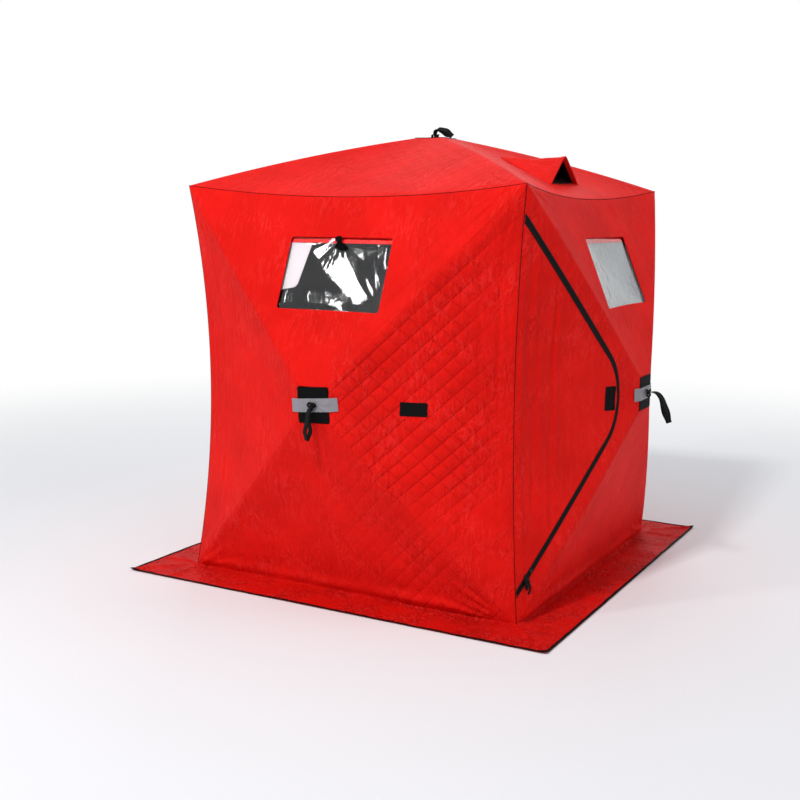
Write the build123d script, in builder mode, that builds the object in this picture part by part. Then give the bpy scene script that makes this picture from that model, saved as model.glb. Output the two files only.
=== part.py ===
from build123d import *
import os
from math import sqrt

# A pop-up ice fishing hut, in millimetres, with +Z up and its origin on the ground under the roof hub.
# Four fabric walls and a roof are each pushed out by a hub with four rods. The front wall faces -Y
# and the wall with the door faces +X.

# Whole hut
BASE = 1800.0             # corner to corner along the foot of a wall
EAVE_HEIGHT = 1940.0      # ground to the corners of the roof
ROOF_RISE = 255.0         # corners of the roof up to the fabric at its hub
WALL_BULGE = 265.0        # how far a wall hub stands out past the foot of its wall
WALL_HUB_HEIGHT = 958.0   # ground to the centre of a wall hub
CORNER_BOW = 88.0         # how far the upright seams bow inwards at half height
EAVE_BOW = 78.0           # how far the eave seams bow inwards and down at mid span
SEAM_STEPS = 6            # flat gores along each seam

# Fabric
FABRIC = 4.0              # quilted wall and roof fabric
SKIRT_WIDTH = 240.0       # ground skirt outside the foot of the walls
SKIRT_THICK = 3.0
SEAT = 0.3                # gap between sewn layers that lie on each other

# Hubs, rods and their fittings
HUB_PATCH = 160.0         # square patch of heavy fabric over each hub
HUB_DEPTH = 20.0          # patch face to the rod centres at the hub
HUB_PLATE_RADIUS = 76.0   # eight-sided plate behind the patch
HUB_PLATE_THICK = 6.0
HUB_BOSS_RADIUS = 48.0
HUB_BOSS_DEPTH = 32.0
ROD_RADIUS = 5.5
ROD_START = 32.0          # hub centre to the foot of a socket, along each side of the patch
ROD_FIT = 0.2             # clearance of a rod in its socket
SOCKET_SIZE = 20.0        # square socket
SOCKET_LENGTH = 70.0
SOCKET_FLOOR = 12.0       # solid end behind a rod at a hub
CORNER_INSET = 28.0       # fabric corner to the centre of its rod fitting, along each axis
BLOCK_SIZE = 34.0         # block at a corner, and its stub towards each rod
STUB_SIZE = 16.0
STUB_LENGTH = 34.0
FOOT_SIZE = 34.0          # pad that carries the block of a foot down to the ground

# Windows in the upper panel of each wall
WINDOW_WIDTH = 544.0
WINDOW_HEIGHT = 325.0     # upright, so a little less than along the sloping panel
WINDOW_DROP = 240.0       # corners of the roof down to the upper edge
WINDOW_CORNER = 14.0
DOOR_WINDOW_ASIDE = 30.0  # window of the door's wall, from the middle of the wall away from the door
FILM = 1.0
FILM_LAP = 14.0           # clear film sewn behind the edge of the opening
FLAP_LAP = 34.0           # dark inner flap past the edge of the opening
FLAP_THICK = 2.0

# Door in the panel of the right wall beside the front corner
ZIP_INSET = 80.0          # rods to the zip, which runs beside them
ZIP_RADIUS = 300.0        # round nose of the door towards the hub
ZIP_GAP = 5.0
TAPE_WIDTH = 11.0
TAPE_THICK = 1.5
JAMB_WIDTH = 20.0         # fabric left between the corner seam and the fold of the door

# Reflective bands, pull straps and hook-and-loop patches
BAND_WIDTH = 245.0
BAND_HEIGHT = 62.0
BAND_THICK = 1.5
STRAP_WIDTH = 38.0
STRAP_THICK = 4.0
STRAP_OUT = 46.0          # strap stands out from the band before it droops
STRAP_DROOP = 125.0
STRAP_LEAN = 22.0         # how far the end of the droop swings out
STRAP_BEND = 16.0
KNOT_SIZE = 30.0
KNOT_THICK = 9.0
WALL_PATCH_OUT = 432.0    # hub to the patch on the front wall, level with the hub
WALL_PATCH_WIDTH = 112.0
WALL_PATCH_HEIGHT = 62.0
DOOR_PATCH_OUT = 278.0
DOOR_PATCH_WIDTH = 56.0
DOOR_PATCH_HEIGHT = 114.0
PATCH_THICK = 2.5
PATCH_CORNER = 4.0        # rounded corners of patches and bands

# Vent hood on the right roof panel
VENT_MOUTH = 681.0        # centre of the hut to the mouth
VENT_TAIL = 323.0         # centre of the hut to the closed end
VENT_ASIDE = 100.0        # how far the hood stands towards the back wall
VENT_WIDTH = 440.0        # at the foot of the mouth, below the roof
VENT_HEIGHT = 140.0
VENT_SHELL = 2.5
VENT_SHOULDER = 0.12      # width across the top of the mouth, as a share of its foot
VENT_SINK = 30.0          # hood outline below the roof before it is trimmed

os.makedirs("parts", exist_ok=True)

# Points and seams of one wall, which faces -Y
half_base = BASE / 2
half_patch = HUB_PATCH / 2
peak_height = EAVE_HEIGHT + ROOF_RISE
hub_face = -half_base - WALL_BULGE
corner_dip = CORNER_BOW / sqrt(2)
eave_dip = EAVE_BOW / sqrt(2)
reach = 4 * BASE

lower_left = Vector(-half_base, -half_base, 0)
lower_right = Vector(half_base, -half_base, 0)
upper_left = Vector(-half_base, -half_base, EAVE_HEIGHT)
upper_right = Vector(half_base, -half_base, EAVE_HEIGHT)
patch_lower_left = Vector(-half_patch, hub_face, WALL_HUB_HEIGHT - half_patch)
patch_lower_right = Vector(half_patch, hub_face, WALL_HUB_HEIGHT - half_patch)
patch_upper_left = Vector(-half_patch, hub_face, WALL_HUB_HEIGHT + half_patch)
patch_upper_right = Vector(half_patch, hub_face, WALL_HUB_HEIGHT + half_patch)
roof_left = Vector(-half_patch, -half_patch, peak_height)
roof_right = Vector(half_patch, -half_patch, peak_height)

corner_seam_left = Edge.make_three_point_arc(
    lower_left, (lower_left + upper_left) * 0.5 + Vector(corner_dip, corner_dip, 0), upper_left
)
corner_seam_right = Edge.make_three_point_arc(
    lower_right, (lower_right + upper_right) * 0.5 + Vector(-corner_dip, corner_dip, 0), upper_right
)
eave_seam = Edge.make_three_point_arc(
    upper_left, (upper_left + upper_right) * 0.5 + Vector(0, eave_dip, -eave_dip), upper_right
)

# Hub side and outer seam of the four panels of a wall, and of a roof panel
wall_panels = {
    "top": (Edge.make_line(patch_upper_left, patch_upper_right), eave_seam),
    "bottom": (Edge.make_line(patch_lower_left, patch_lower_right), Edge.make_line(lower_left, lower_right)),
    "left": (Edge.make_line(patch_lower_left, patch_upper_left), corner_seam_left),
    "right": (Edge.make_line(patch_lower_right, patch_upper_right), corner_seam_right),
}
roof_sides = (Edge.make_line(roof_left, roof_right), eave_seam)

# Mitre planes, each with its normal towards the side that is cut away
mitre_left = Plane(origin=(0, 0, 0), x_dir=(0, 0, 1), z_dir=(-1, 1, 0))
mitre_right = Plane(origin=(0, 0, 0), x_dir=(0, 0, 1), z_dir=(1, 1, 0))
mitre_eave = Plane(origin=upper_left, x_dir=(1, 0, 0), z_dir=(0, 1, 1))
skirt_top = Plane(origin=(0, 0, SKIRT_THICK), x_dir=(1, 0, 0), z_dir=(0, 0, -1))

seen_from_front = Plane.XZ.offset(-reach / 2)
hub_level = Plane.XY.offset(WALL_HUB_HEIGHT)
wall_hub_plane = Plane(origin=(0, hub_face, WALL_HUB_HEIGHT), x_dir=(1, 0, 0), z_dir=(0, -1, 0))
roof_hub_plane = Plane.XY.offset(peak_height)

WALLS = {"front": 0, "right": 90, "back": 180, "left": 270}
DOOR_WALL = "right"


def gores(hub_side, seam):
    """Flat triangles stretched between a hub patch's side and a seam, as two fans and the gore between them."""
    points = [seam @ (step / SEAM_STEPS) for step in range(SEAM_STEPS + 1)]
    middle = SEAM_STEPS // 2
    first, last = hub_side @ 0, hub_side @ 1
    triangles = [(first, points[step], points[step + 1]) for step in range(middle)]
    triangles.append((first, points[middle], last))
    triangles += [(last, points[step], points[step + 1]) for step in range(middle, SEAM_STEPS)]
    return [Face(Wire.make_polygon(triangle)) for triangle in triangles]


def wall_layer(panel, depth, thick):
    """Solid sheet behind one wall panel's outer face, from depth inwards by thick."""
    with BuildPart() as layer:
        for gore in gores(*wall_panels[panel]):
            extrude(gore.moved(Location((0, depth, 0))), amount=thick, dir=(0, 1, 0))
        split(bisect_by=mitre_left, keep=Keep.BOTTOM)
        split(bisect_by=mitre_right, keep=Keep.BOTTOM)
        split(bisect_by=mitre_eave, keep=Keep.BOTTOM)
        split(bisect_by=skirt_top, keep=Keep.BOTTOM)
    return layer.part


def roof_layer(height, thick):
    """Solid sheet under one roof panel's outer face, from height above it downwards by thick."""
    with BuildPart() as layer:
        for gore in gores(*roof_sides):
            extrude(gore.moved(Location((0, 0, height))), amount=thick, dir=(0, 0, -1))
    return layer.part


def save(part, name):
    """Label a finished piece and write it."""
    part.label = name
    export_step(part, f"parts/{name}.step")


def turned(part, angle):
    """Copy of a front piece, turned about the hut's middle."""
    return part.rotate(Axis.Z, angle)


def rectangle_region(across, up, width, height, corner):
    """Rounded rectangle seen from the front and run through the wall."""
    with BuildPart() as region:
        with BuildSketch(seen_from_front):
            with Locations((across, up)):
                outline = Rectangle(width, height)
                if corner:
                    fillet(outline.vertices(), corner)
        extrude(amount=reach)
    return region.part


def window_region(wall, lap, corner):
    """Window opening of a wall, grown by lap on every side."""
    aside = DOOR_WINDOW_ASIDE if wall == DOOR_WALL else 0
    middle = EAVE_HEIGHT - WINDOW_DROP - WINDOW_HEIGHT / 2
    return rectangle_region(aside, middle, WINDOW_WIDTH + 2 * lap, WINDOW_HEIGHT + 2 * lap, corner)


def wedge(inset):
    """Corners of the door's outline, inset from the two rods: its nose, then far past its upper and lower ends."""
    up = (upper_left - patch_upper_left).normalized()
    down = (lower_left - patch_lower_left).normalized()
    upper = Vector(patch_upper_left.X, patch_upper_left.Z) + Vector(-up.Z, up.X).normalized() * inset
    lower = Vector(patch_lower_left.X, patch_lower_left.Z) + Vector(down.Z, -down.X).normalized() * inset
    upper_run = Vector(up.X, up.Z)
    lower_run = Vector(down.X, down.Z)
    step = (lower - upper).cross(lower_run).Z / upper_run.cross(lower_run).Z
    nose = upper + upper_run * step
    return nose, nose + upper_run * BASE, nose + lower_run * BASE


def door_region(inset):
    """Everything inside the door's zip line, seen from the wall and run through it."""
    with BuildPart() as region:
        with BuildSketch(seen_from_front):
            with BuildLine():
                Polyline(*wedge(inset), close=True)
            make_face()
            nose = vertices().sort_by(Axis.X)[-1]
            fillet(nose, ZIP_RADIUS + ZIP_INSET - inset)
        extrude(amount=reach)
    return region.part


def past_fold(gap):
    """Everything on the hub's side of the fold that the door swings on, with a gap from it."""
    fold = -half_base + JAMB_WIDTH + gap
    with BuildPart() as region:
        with BuildSketch(seen_from_front):
            with BuildLine():
                ThreePointArc((fold, 0), (fold + corner_dip, EAVE_HEIGHT / 2), (fold, EAVE_HEIGHT))
                Polyline((fold, EAVE_HEIGHT), (0, EAVE_HEIGHT), (0, 0), (fold, 0))
            make_face()
        extrude(amount=reach)
    return region.part


def all_round(piece):
    """The front wall's piece and its copies on the other three walls, as one node."""
    with BuildPart() as ring:
        for angle in WALLS.values():
            add(turned(piece, angle))
    return ring.part


# Fabric panels of the four walls, each with its window in the upper panel
def top_panel(wall):
    """Upper panel of a wall, before it is turned."""
    with BuildPart() as panel:
        add(wall_layer("top", 0, FABRIC))
        add(window_region(wall, 0, WINDOW_CORNER), mode=Mode.SUBTRACT)
    return panel.part


with BuildPart() as bottom_panel:
    add(wall_layer("bottom", 0, FABRIC))

with BuildPart() as left_panel:
    add(wall_layer("left", 0, FABRIC))

with BuildPart() as right_panel:
    add(wall_layer("right", 0, FABRIC))

for wall, angle in WALLS.items():
    save(turned(top_panel(wall), angle), f"{wall}_wall_top")
    save(turned(bottom_panel.part, angle), f"{wall}_wall_bottom")
    save(turned(right_panel.part, angle), f"{wall}_wall_right")
    if wall != DOOR_WALL:
        save(turned(left_panel.part, angle), f"{wall}_wall_left")

# The left panel of the door's wall: a surround above and below, a jamb at the corner, and the door
with BuildPart() as surround_upper:
    add(wall_layer("left", 0, FABRIC))
    add(door_region(ZIP_INSET), mode=Mode.SUBTRACT)
    split(bisect_by=hub_level, keep=Keep.TOP)

with BuildPart() as surround_lower:
    add(wall_layer("left", 0, FABRIC))
    add(door_region(ZIP_INSET), mode=Mode.SUBTRACT)
    split(bisect_by=hub_level, keep=Keep.BOTTOM)

with BuildPart() as door_jamb:
    add(wall_layer("left", 0, FABRIC))
    add(door_region(ZIP_INSET), mode=Mode.INTERSECT)
    add(past_fold(0), mode=Mode.SUBTRACT)

with BuildPart() as door_flap:
    add(wall_layer("left", 0, FABRIC))
    add(door_region(ZIP_INSET + ZIP_GAP), mode=Mode.INTERSECT)
    add(past_fold(SEAT), mode=Mode.INTERSECT)

# Zip: one tape on the surround and one on the door, with their open gap between them
with BuildPart() as surround_tape:
    add(wall_layer("left", -SEAT - TAPE_THICK, TAPE_THICK))
    add(door_region(ZIP_INSET - TAPE_WIDTH), mode=Mode.INTERSECT)
    add(door_region(ZIP_INSET), mode=Mode.SUBTRACT)
    add(past_fold(0), mode=Mode.INTERSECT)

with BuildPart() as door_tape:
    add(wall_layer("left", -SEAT - TAPE_THICK, TAPE_THICK))
    add(door_region(ZIP_INSET + ZIP_GAP), mode=Mode.INTERSECT)
    add(door_region(ZIP_INSET + ZIP_GAP + TAPE_WIDTH), mode=Mode.SUBTRACT)
    add(past_fold(SEAT), mode=Mode.INTERSECT)

# Hook-and-loop patches: the door's meets the front wall's when the door is folded back
with BuildPart() as door_patch:
    add(wall_layer("left", -SEAT - PATCH_THICK, PATCH_THICK))
    add(
        rectangle_region(-DOOR_PATCH_OUT, WALL_HUB_HEIGHT, DOOR_PATCH_WIDTH, DOOR_PATCH_HEIGHT, PATCH_CORNER),
        mode=Mode.INTERSECT,
    )

with BuildPart() as wall_patch:
    add(wall_layer("right", -SEAT - PATCH_THICK, PATCH_THICK))
    add(
        rectangle_region(WALL_PATCH_OUT, WALL_HUB_HEIGHT, WALL_PATCH_WIDTH, WALL_PATCH_HEIGHT, PATCH_CORNER),
        mode=Mode.INTERSECT,
    )

door_angle = WALLS[DOOR_WALL]
save(turned(surround_upper.part, door_angle), "door_surround_upper")
save(turned(surround_lower.part, door_angle), "door_surround_lower")
save(turned(door_jamb.part, door_angle), "door_jamb")
save(turned(door_flap.part, door_angle), "door_flap")
save(turned(surround_tape.part, door_angle), "door_surround_zip")
save(turned(door_tape.part, door_angle), "door_flap_zip")
save(turned(door_patch.part, door_angle), "door_hook_patch")
save(wall_patch.part, "wall_hook_patch")


# Windows: a clear film behind each opening, and a dark flap behind the film
def behind_window(wall, depth, thick, lap):
    """Sheet behind a wall's window, past its edges by lap."""
    with BuildPart() as layer:
        add(wall_layer("top", depth, thick))
        add(window_region(wall, lap, 0), mode=Mode.INTERSECT)
    return turned(layer.part, WALLS[wall])


film_sheets = [behind_window(wall, FABRIC + SEAT, FILM, FILM_LAP) for wall in WALLS]
flap_sheets = [behind_window(wall, FABRIC + FILM + 2 * SEAT, FLAP_THICK, FLAP_LAP) for wall in WALLS]

with BuildPart() as films:
    add(film_sheets)

with BuildPart() as flaps:
    add(flap_sheets)

save(films.part, "window_films")
save(flaps.part, "window_flaps")

# Ground skirt, mitred at the corners; the walls stand on its inner edge
skirt_inner = half_base - FABRIC
skirt_outer = half_base + SKIRT_WIDTH
with BuildPart() as skirt:
    with BuildSketch():
        with BuildLine():
            Polyline(
                (-skirt_outer, -skirt_outer),
                (skirt_outer, -skirt_outer),
                (skirt_inner, -skirt_inner),
                (-skirt_inner, -skirt_inner),
                close=True,
            )
        make_face()
    extrude(amount=SKIRT_THICK)

for wall, angle in WALLS.items():
    save(turned(skirt.part, angle), f"{wall}_skirt")

# Roof panels, mitred to the walls along the eave seams
with BuildPart() as roof_panel:
    add(roof_layer(0, FABRIC))
    split(bisect_by=mitre_eave, keep=Keep.TOP)

for wall, angle in WALLS.items():
    save(turned(roof_panel.part, angle), f"roof_{wall}")

# Hub patches close the square between the four panels of each wall and of the roof
with BuildPart() as wall_hub_patch:
    with BuildSketch(wall_hub_plane):
        Rectangle(HUB_PATCH, HUB_PATCH)
    extrude(amount=-FABRIC)

with BuildPart() as hub_patches:
    add(all_round(wall_hub_patch.part))
    with BuildSketch(roof_hub_plane):
        Rectangle(HUB_PATCH, HUB_PATCH)
    extrude(amount=-FABRIC)

save(hub_patches.part, "hub_patches")

# Reflective band across each wall hub
with BuildPart() as band:
    add(wall_layer("left", -SEAT - BAND_THICK, BAND_THICK))
    add(wall_layer("right", -SEAT - BAND_THICK, BAND_THICK))
    with BuildSketch(wall_hub_plane.offset(SEAT)):
        Rectangle(HUB_PATCH, HUB_PATCH)
    extrude(amount=BAND_THICK)
    add(rectangle_region(0, WALL_HUB_HEIGHT, BAND_WIDTH, BAND_HEIGHT, 0), mode=Mode.INTERSECT)

save(all_round(band.part), "reflective_bands")


def pull_strap(points):
    """Folded webbing on a knot: points run out and along from the hub, in the plane across the hub's face."""
    with BuildPart() as strap:
        with BuildSketch(Plane.YZ.offset(-STRAP_WIDTH / 2)):
            with BuildLine():
                FilletPolyline(*points, radius=STRAP_BEND)
            trace(line_width=STRAP_THICK)
        extrude(amount=STRAP_WIDTH)
    return strap.part


# Pull straps: each comes out of a knot on its hub and droops
band_face = hub_face - SEAT - BAND_THICK
with BuildPart() as wall_strap:
    with BuildSketch(Plane.XZ.offset(-band_face + SEAT)):
        with Locations((0, WALL_HUB_HEIGHT)):
            Rectangle(STRAP_WIDTH, KNOT_SIZE)
    extrude(amount=KNOT_THICK)
    add(
        pull_strap(
            [
                (band_face - SEAT - KNOT_THICK / 2, WALL_HUB_HEIGHT),
                (band_face - STRAP_OUT, WALL_HUB_HEIGHT),
                (band_face - STRAP_OUT - STRAP_LEAN, WALL_HUB_HEIGHT - STRAP_DROOP),
            ]
        )
    )

with BuildPart() as roof_strap:
    with BuildSketch(roof_hub_plane.offset(SEAT)):
        Rectangle(STRAP_WIDTH, KNOT_SIZE)
    extrude(amount=KNOT_THICK)
    add(
        pull_strap(
            [
                (0, peak_height + KNOT_THICK / 2),
                (0, peak_height + STRAP_OUT),
                (-STRAP_DROOP, peak_height + STRAP_OUT / 2),
            ]
        )
    )

with BuildPart() as pull_straps:
    add(all_round(wall_strap.part))
    add(turned(roof_strap.part, door_angle))

save(pull_straps.part, "pull_straps")


# Rods, and the hubs and corner fittings that hold their ends
def rod_starts(angle):
    """Rod centres at one wall hub: lower left, lower right, upper right, upper left."""
    depth = hub_face + HUB_DEPTH
    low = WALL_HUB_HEIGHT - ROD_START
    high = WALL_HUB_HEIGHT + ROD_START
    points = [Vector(-ROD_START, depth, low), Vector(ROD_START, depth, low)]
    points += [Vector(ROD_START, depth, high), Vector(-ROD_START, depth, high)]
    return [point.rotate(Axis.Z, angle) for point in points]


def rod_ends(angle):
    """Fitting centres at one wall's corners, in the order of its rods."""
    inner = half_base - CORNER_INSET
    low = CORNER_INSET
    high = EAVE_HEIGHT - CORNER_INSET
    points = [Vector(-inner, -inner, low), Vector(inner, -inner, low)]
    points += [Vector(inner, -inner, high), Vector(-inner, -inner, high)]
    return [point.rotate(Axis.Z, angle) for point in points]


def roof_start(angle):
    """Rod centre at the roof hub on the way to the front left corner, turned by angle."""
    return Vector(-ROD_START, -ROD_START, peak_height - HUB_DEPTH).rotate(Axis.Z, angle)


def rod(start, end):
    """Round rod from the floor of its socket to the stub at its corner."""
    run = (end - start).normalized()
    near = start + run * (SOCKET_FLOOR + SEAT)
    far = end - run * (STUB_LENGTH + SEAT)
    with BuildPart() as piece:
        with BuildSketch(Plane(origin=near, z_dir=run)):
            Circle(ROD_RADIUS)
        extrude(amount=(far - near).length)
    return piece.part


def hub(plane, starts, ends):
    """Plate and boss behind the hub patch, with a socket bored for each rod."""
    with BuildPart() as piece:
        with BuildSketch(plane.offset(-FABRIC - SEAT)):
            RegularPolygon(HUB_PLATE_RADIUS, 8)
        extrude(amount=-HUB_PLATE_THICK)
        with BuildSketch(plane.offset(-FABRIC - SEAT)):
            RegularPolygon(HUB_BOSS_RADIUS, 8)
        extrude(amount=-HUB_BOSS_DEPTH)
        for start, end in zip(starts, ends):
            run = (end - start).normalized()
            foot = Plane(origin=start, x_dir=run.cross(plane.z_dir), z_dir=run)
            with BuildSketch(foot):
                Rectangle(SOCKET_SIZE, SOCKET_SIZE)
            extrude(amount=SOCKET_LENGTH)
            with BuildSketch(foot.offset(SOCKET_FLOOR)):
                Circle(ROD_RADIUS + ROD_FIT)
            extrude(amount=SOCKET_LENGTH, mode=Mode.SUBTRACT)
    return piece.part


for wall, angle in WALLS.items():
    with BuildPart() as wall_rods:
        for start, end in zip(rod_starts(angle), rod_ends(angle)):
            add(rod(start, end))
    save(wall_rods.part, f"{wall}_rods")

with BuildPart() as roof_rods:
    for angle in WALLS.values():
        add(rod(roof_start(angle), rod_ends(angle)[3]))

save(roof_rods.part, "roof_rods")

front_hub = hub(wall_hub_plane, rod_starts(0), rod_ends(0))
save(all_round(front_hub), "wall_hubs")

roof_starts = [roof_start(angle) for angle in WALLS.values()]
roof_ends = [rod_ends(angle)[3] for angle in WALLS.values()]
roof_hub = hub(roof_hub_plane, roof_starts, roof_ends)
save(roof_hub, "roof_hub")


def corner_fitting(centre, starts):
    """Block with a stub that each rod's end stands on."""
    with BuildPart() as piece:
        with Locations(centre):
            Box(BLOCK_SIZE, BLOCK_SIZE, BLOCK_SIZE)
        for start in starts:
            with BuildSketch(Plane(origin=centre, z_dir=start - centre)):
                Rectangle(STUB_SIZE, STUB_SIZE)
            extrude(amount=STUB_LENGTH)
    return piece.part


# Eave corners take a rod from the front wall, one from the left wall and one from the roof
left_angle = WALLS["left"]
eave_fitting = corner_fitting(rod_ends(0)[3], [rod_starts(0)[3], rod_starts(left_angle)[2], roof_start(0)])
save(all_round(eave_fitting), "eave_fittings")

# Feet take a rod from each of two walls and stand on the ground
with BuildPart() as foot:
    add(corner_fitting(rod_ends(0)[0], [rod_starts(0)[0], rod_starts(left_angle)[1]]))
    with BuildSketch(Plane.XY):
        with Locations((rod_ends(0)[0].X, rod_ends(0)[0].Y)):
            Rectangle(FOOT_SIZE, FOOT_SIZE)
    extrude(amount=CORNER_INSET)

save(all_round(foot.part), "feet")


# Vent hood on the right roof panel: a tapering tent of three gores, open towards the eave
def hood(shrink):
    """Hood as a solid that runs to a point at its closed end, with its outline drawn in by shrink."""
    roof_fall = (ROOF_RISE + eave_dip) / (half_base - eave_dip - half_patch)
    mouth_roof = peak_height - (VENT_MOUTH - half_patch) * roof_fall
    tail_roof = peak_height - (VENT_TAIL - half_patch) * roof_fall
    half_width = VENT_WIDTH / 2 - shrink
    with BuildPart() as piece:
        with BuildSketch(Plane.XZ.offset(VENT_MOUTH + shrink)) as mouth:
            with BuildLine():
                Polyline(
                    (VENT_ASIDE - half_width, mouth_roof - VENT_SINK),
                    (VENT_ASIDE - half_width * VENT_SHOULDER, mouth_roof + VENT_HEIGHT - shrink),
                    (VENT_ASIDE + half_width * VENT_SHOULDER, mouth_roof + VENT_HEIGHT - shrink),
                    (VENT_ASIDE + half_width, mouth_roof - VENT_SINK),
                    close=True,
                )
            make_face()
        loft([mouth.sketch.faces()[0], Vertex(VENT_ASIDE, -VENT_TAIL - 3 * shrink, tail_roof - shrink)], ruled=True)
    return piece.part


with BuildPart() as vent_hood:
    add(hood(0))
    add(hood(VENT_SHELL), mode=Mode.SUBTRACT)
    add(roof_layer(SEAT, 2 * VENT_HEIGHT), mode=Mode.SUBTRACT)

save(turned(vent_hood.part, door_angle), "vent_hood")
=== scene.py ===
"""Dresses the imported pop-up ice fishing hut.

Each fabric panel is a tensioned sheet between a hub and its seams, quilted and wrinkled in its mesh. Film,
flaps, patches, bands, zips and straps lie on those sheets. Lengths are in metres and +Z is up.
"""

import math
from collections import namedtuple
from functools import partial

import bpy
import numpy as np
from mathutils import Matrix, Vector, geometry, kdtree


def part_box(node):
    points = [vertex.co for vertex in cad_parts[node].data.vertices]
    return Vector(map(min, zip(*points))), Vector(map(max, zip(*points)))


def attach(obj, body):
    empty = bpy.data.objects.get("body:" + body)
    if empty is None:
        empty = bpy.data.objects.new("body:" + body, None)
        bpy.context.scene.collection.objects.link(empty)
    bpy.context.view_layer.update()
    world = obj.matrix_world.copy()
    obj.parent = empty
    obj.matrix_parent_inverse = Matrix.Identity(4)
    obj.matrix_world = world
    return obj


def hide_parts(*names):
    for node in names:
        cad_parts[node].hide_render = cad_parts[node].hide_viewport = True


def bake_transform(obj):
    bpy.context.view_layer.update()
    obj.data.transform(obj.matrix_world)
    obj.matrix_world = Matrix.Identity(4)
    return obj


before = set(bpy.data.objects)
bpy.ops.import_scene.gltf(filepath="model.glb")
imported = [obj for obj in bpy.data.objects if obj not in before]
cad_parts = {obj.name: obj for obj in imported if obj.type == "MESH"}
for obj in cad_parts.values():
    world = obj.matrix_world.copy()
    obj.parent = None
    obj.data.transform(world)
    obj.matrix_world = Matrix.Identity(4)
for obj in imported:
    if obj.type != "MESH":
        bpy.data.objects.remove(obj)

bl_info = {
    "name": "Ice Fishing Hut",
    "version": (1, 0, 0),
    "blender": (4, 5, 0),
    "location": "View3D > Sidebar > Hut",
    "description": "Dresses a packed pop-up ice fishing hut in quilted fabric, film, webbing and zips",
    "category": "Add Mesh",
}

SHELTER = "shelter"
DOOR = "door"
TURNS = {"front": 0.0, "right": 90.0, "back": 180.0, "left": 270.0}
DOOR_WALL = "right"

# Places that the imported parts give
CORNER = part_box("front_wall_right")[1]
HALF = CORNER.x
EAVE = CORNER.z
HUB_DEPTH = -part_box("hub_patches")[0].y
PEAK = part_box("hub_patches")[1].z
PATCH_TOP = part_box("front_wall_top")[0].z
PATCH_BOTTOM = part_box("front_wall_bottom")[1].z
HUB_HEIGHT = (PATCH_TOP + PATCH_BOTTOM) / 2
PATCH_HALF = (PATCH_TOP - PATCH_BOTTOM) / 2
SKIRT_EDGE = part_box("front_skirt")[1].x
VENT_LOW, VENT_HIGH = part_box("vent_hood")
VENT_MIDDLE, VENT_HALF = (VENT_LOW.y + VENT_HIGH.y) / 2, (VENT_HIGH.y - VENT_LOW.y) / 2

Panel = namedtuple(
    "Panel",
    "swap sign hub_out seam_out seam_dip hub_low hub_high seam_low seam_high hub_depth seam_depth depth_dip bow",
)


def length(name, default, description, low=0.0, high=4.0):
    """A size that a user may change, in metres."""
    return bpy.props.FloatProperty(
        name=name, description=description, default=default, min=low, max=high, unit="LENGTH", precision=4
    )


def linear(code):
    """Linear colour with full alpha from an sRGB hex code."""
    parts = [int(code[i:i + 2], 16) / 255 for i in (1, 3, 5)]
    return tuple(p / 12.92 if p <= 0.04045 else ((p + 0.055) / 1.055) ** 2.4 for p in parts) + (1.0,)


def colour(name, code, description):
    """A colour that a user may change, given as an sRGB hex code."""
    return bpy.props.FloatVectorProperty(
        name=name, description=description, default=linear(code), size=4, subtype="COLOR", min=0.0, max=1.0
    )


class HutFabric(bpy.types.PropertyGroup):
    """Shape and colours of the hut's fabric."""

    corner_dip: length("Corner dip", 0.0622, "How far each upright seam bows in, along each axis")
    eave_dip: length("Eave dip", 0.0552, "How far each eave seam bows in and down")
    wall_bow: length("Wall rod bow", 0.012, "How far the rods push the ridges of a wall out of straight")
    roof_bow: length("Roof rod bow", 0.018, "How far the rods push the ridges of the roof out of straight")
    thickness: length("Fabric thickness", 0.004, "Quilted fabric, face to lining")
    mesh_step: length("Mesh step", 0.014, "Spacing of the points that shape the fabric")
    quilt_cell: length("Quilt cell", 0.060, "Distance between parallel lines of stitching")
    quilt_loft: length("Quilt loft", 0.0085, "How far the padding swells between the lines")
    red: colour("Wall red", "#DE1A15", "Quilted polyester of the walls and door")
    # A little lighter and pinker than the wall red: painted sheen of the roof
    roof_sheen_red: colour("Roof red", "#E22420", "Quilted polyester of the roof")
    skirt_red: colour("Skirt red", "#D01510", "Plain polyester of the ground skirt")
    lining: colour("Lining", "#B9B6B4", "Pale backing inside the padding")


class HutTrim(bpy.types.PropertyGroup):
    """Patches, bands, straps and zips."""

    band_width: length("Band width", 0.245, "Reflective band, end to end")
    band_height: length("Band height", 0.062, "Reflective band, edge to edge")
    zip_inset: length("Zip inset", 0.080, "Rods to the zip")
    zip_radius: length("Zip radius", 0.300, "Round nose of the door")
    zip_gap: length("Zip gap", 0.005, "Gap between the two halves of the zip")
    tape_width: length("Tape width", 0.0100, "Each zip tape")
    strap_width: length("Strap width", 0.036, "Webbing of the pull straps")
    strap_thickness: length("Strap thickness", 0.0022, "One layer of the webbing")
    wall_patch_out: length("Wall patch out", 0.432, "Hub to the hook patch on the front wall")
    wall_patch_width: length("Wall patch width", 0.112, "Hook patch on the front wall")
    wall_patch_height: length("Wall patch height", 0.062, "Hook patch on the front wall")
    door_patch_out: length("Door patch out", 0.278, "Hub to the hook patch on the door")
    door_patch_width: length("Door patch width", 0.056, "Hook patch on the door")
    door_patch_height: length("Door patch height", 0.114, "Hook patch on the door")
    piping: length("Piping", 0.0030, "Piping in the corner and eave seams")
    binding: length("Binding", 0.014, "Black binding along the skirt's edge")
    black: colour("Black fabric", "#131314", "Heavy polyester of the hub patches")
    hook: colour("Hook tape", "#101011", "Hook-and-loop patches")
    zip_black: colour("Zip black", "#0B0B0C", "Zip tapes and coil")
    webbing: colour("Webbing", "#0C0C0D", "Pull straps")
    thread: colour("Seam thread", "#4A0B0A", "Dark piping in the corner and eave seams")
    band: colour("Reflective band", "#8B878D", "Reflective tape seen by daylight")


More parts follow.
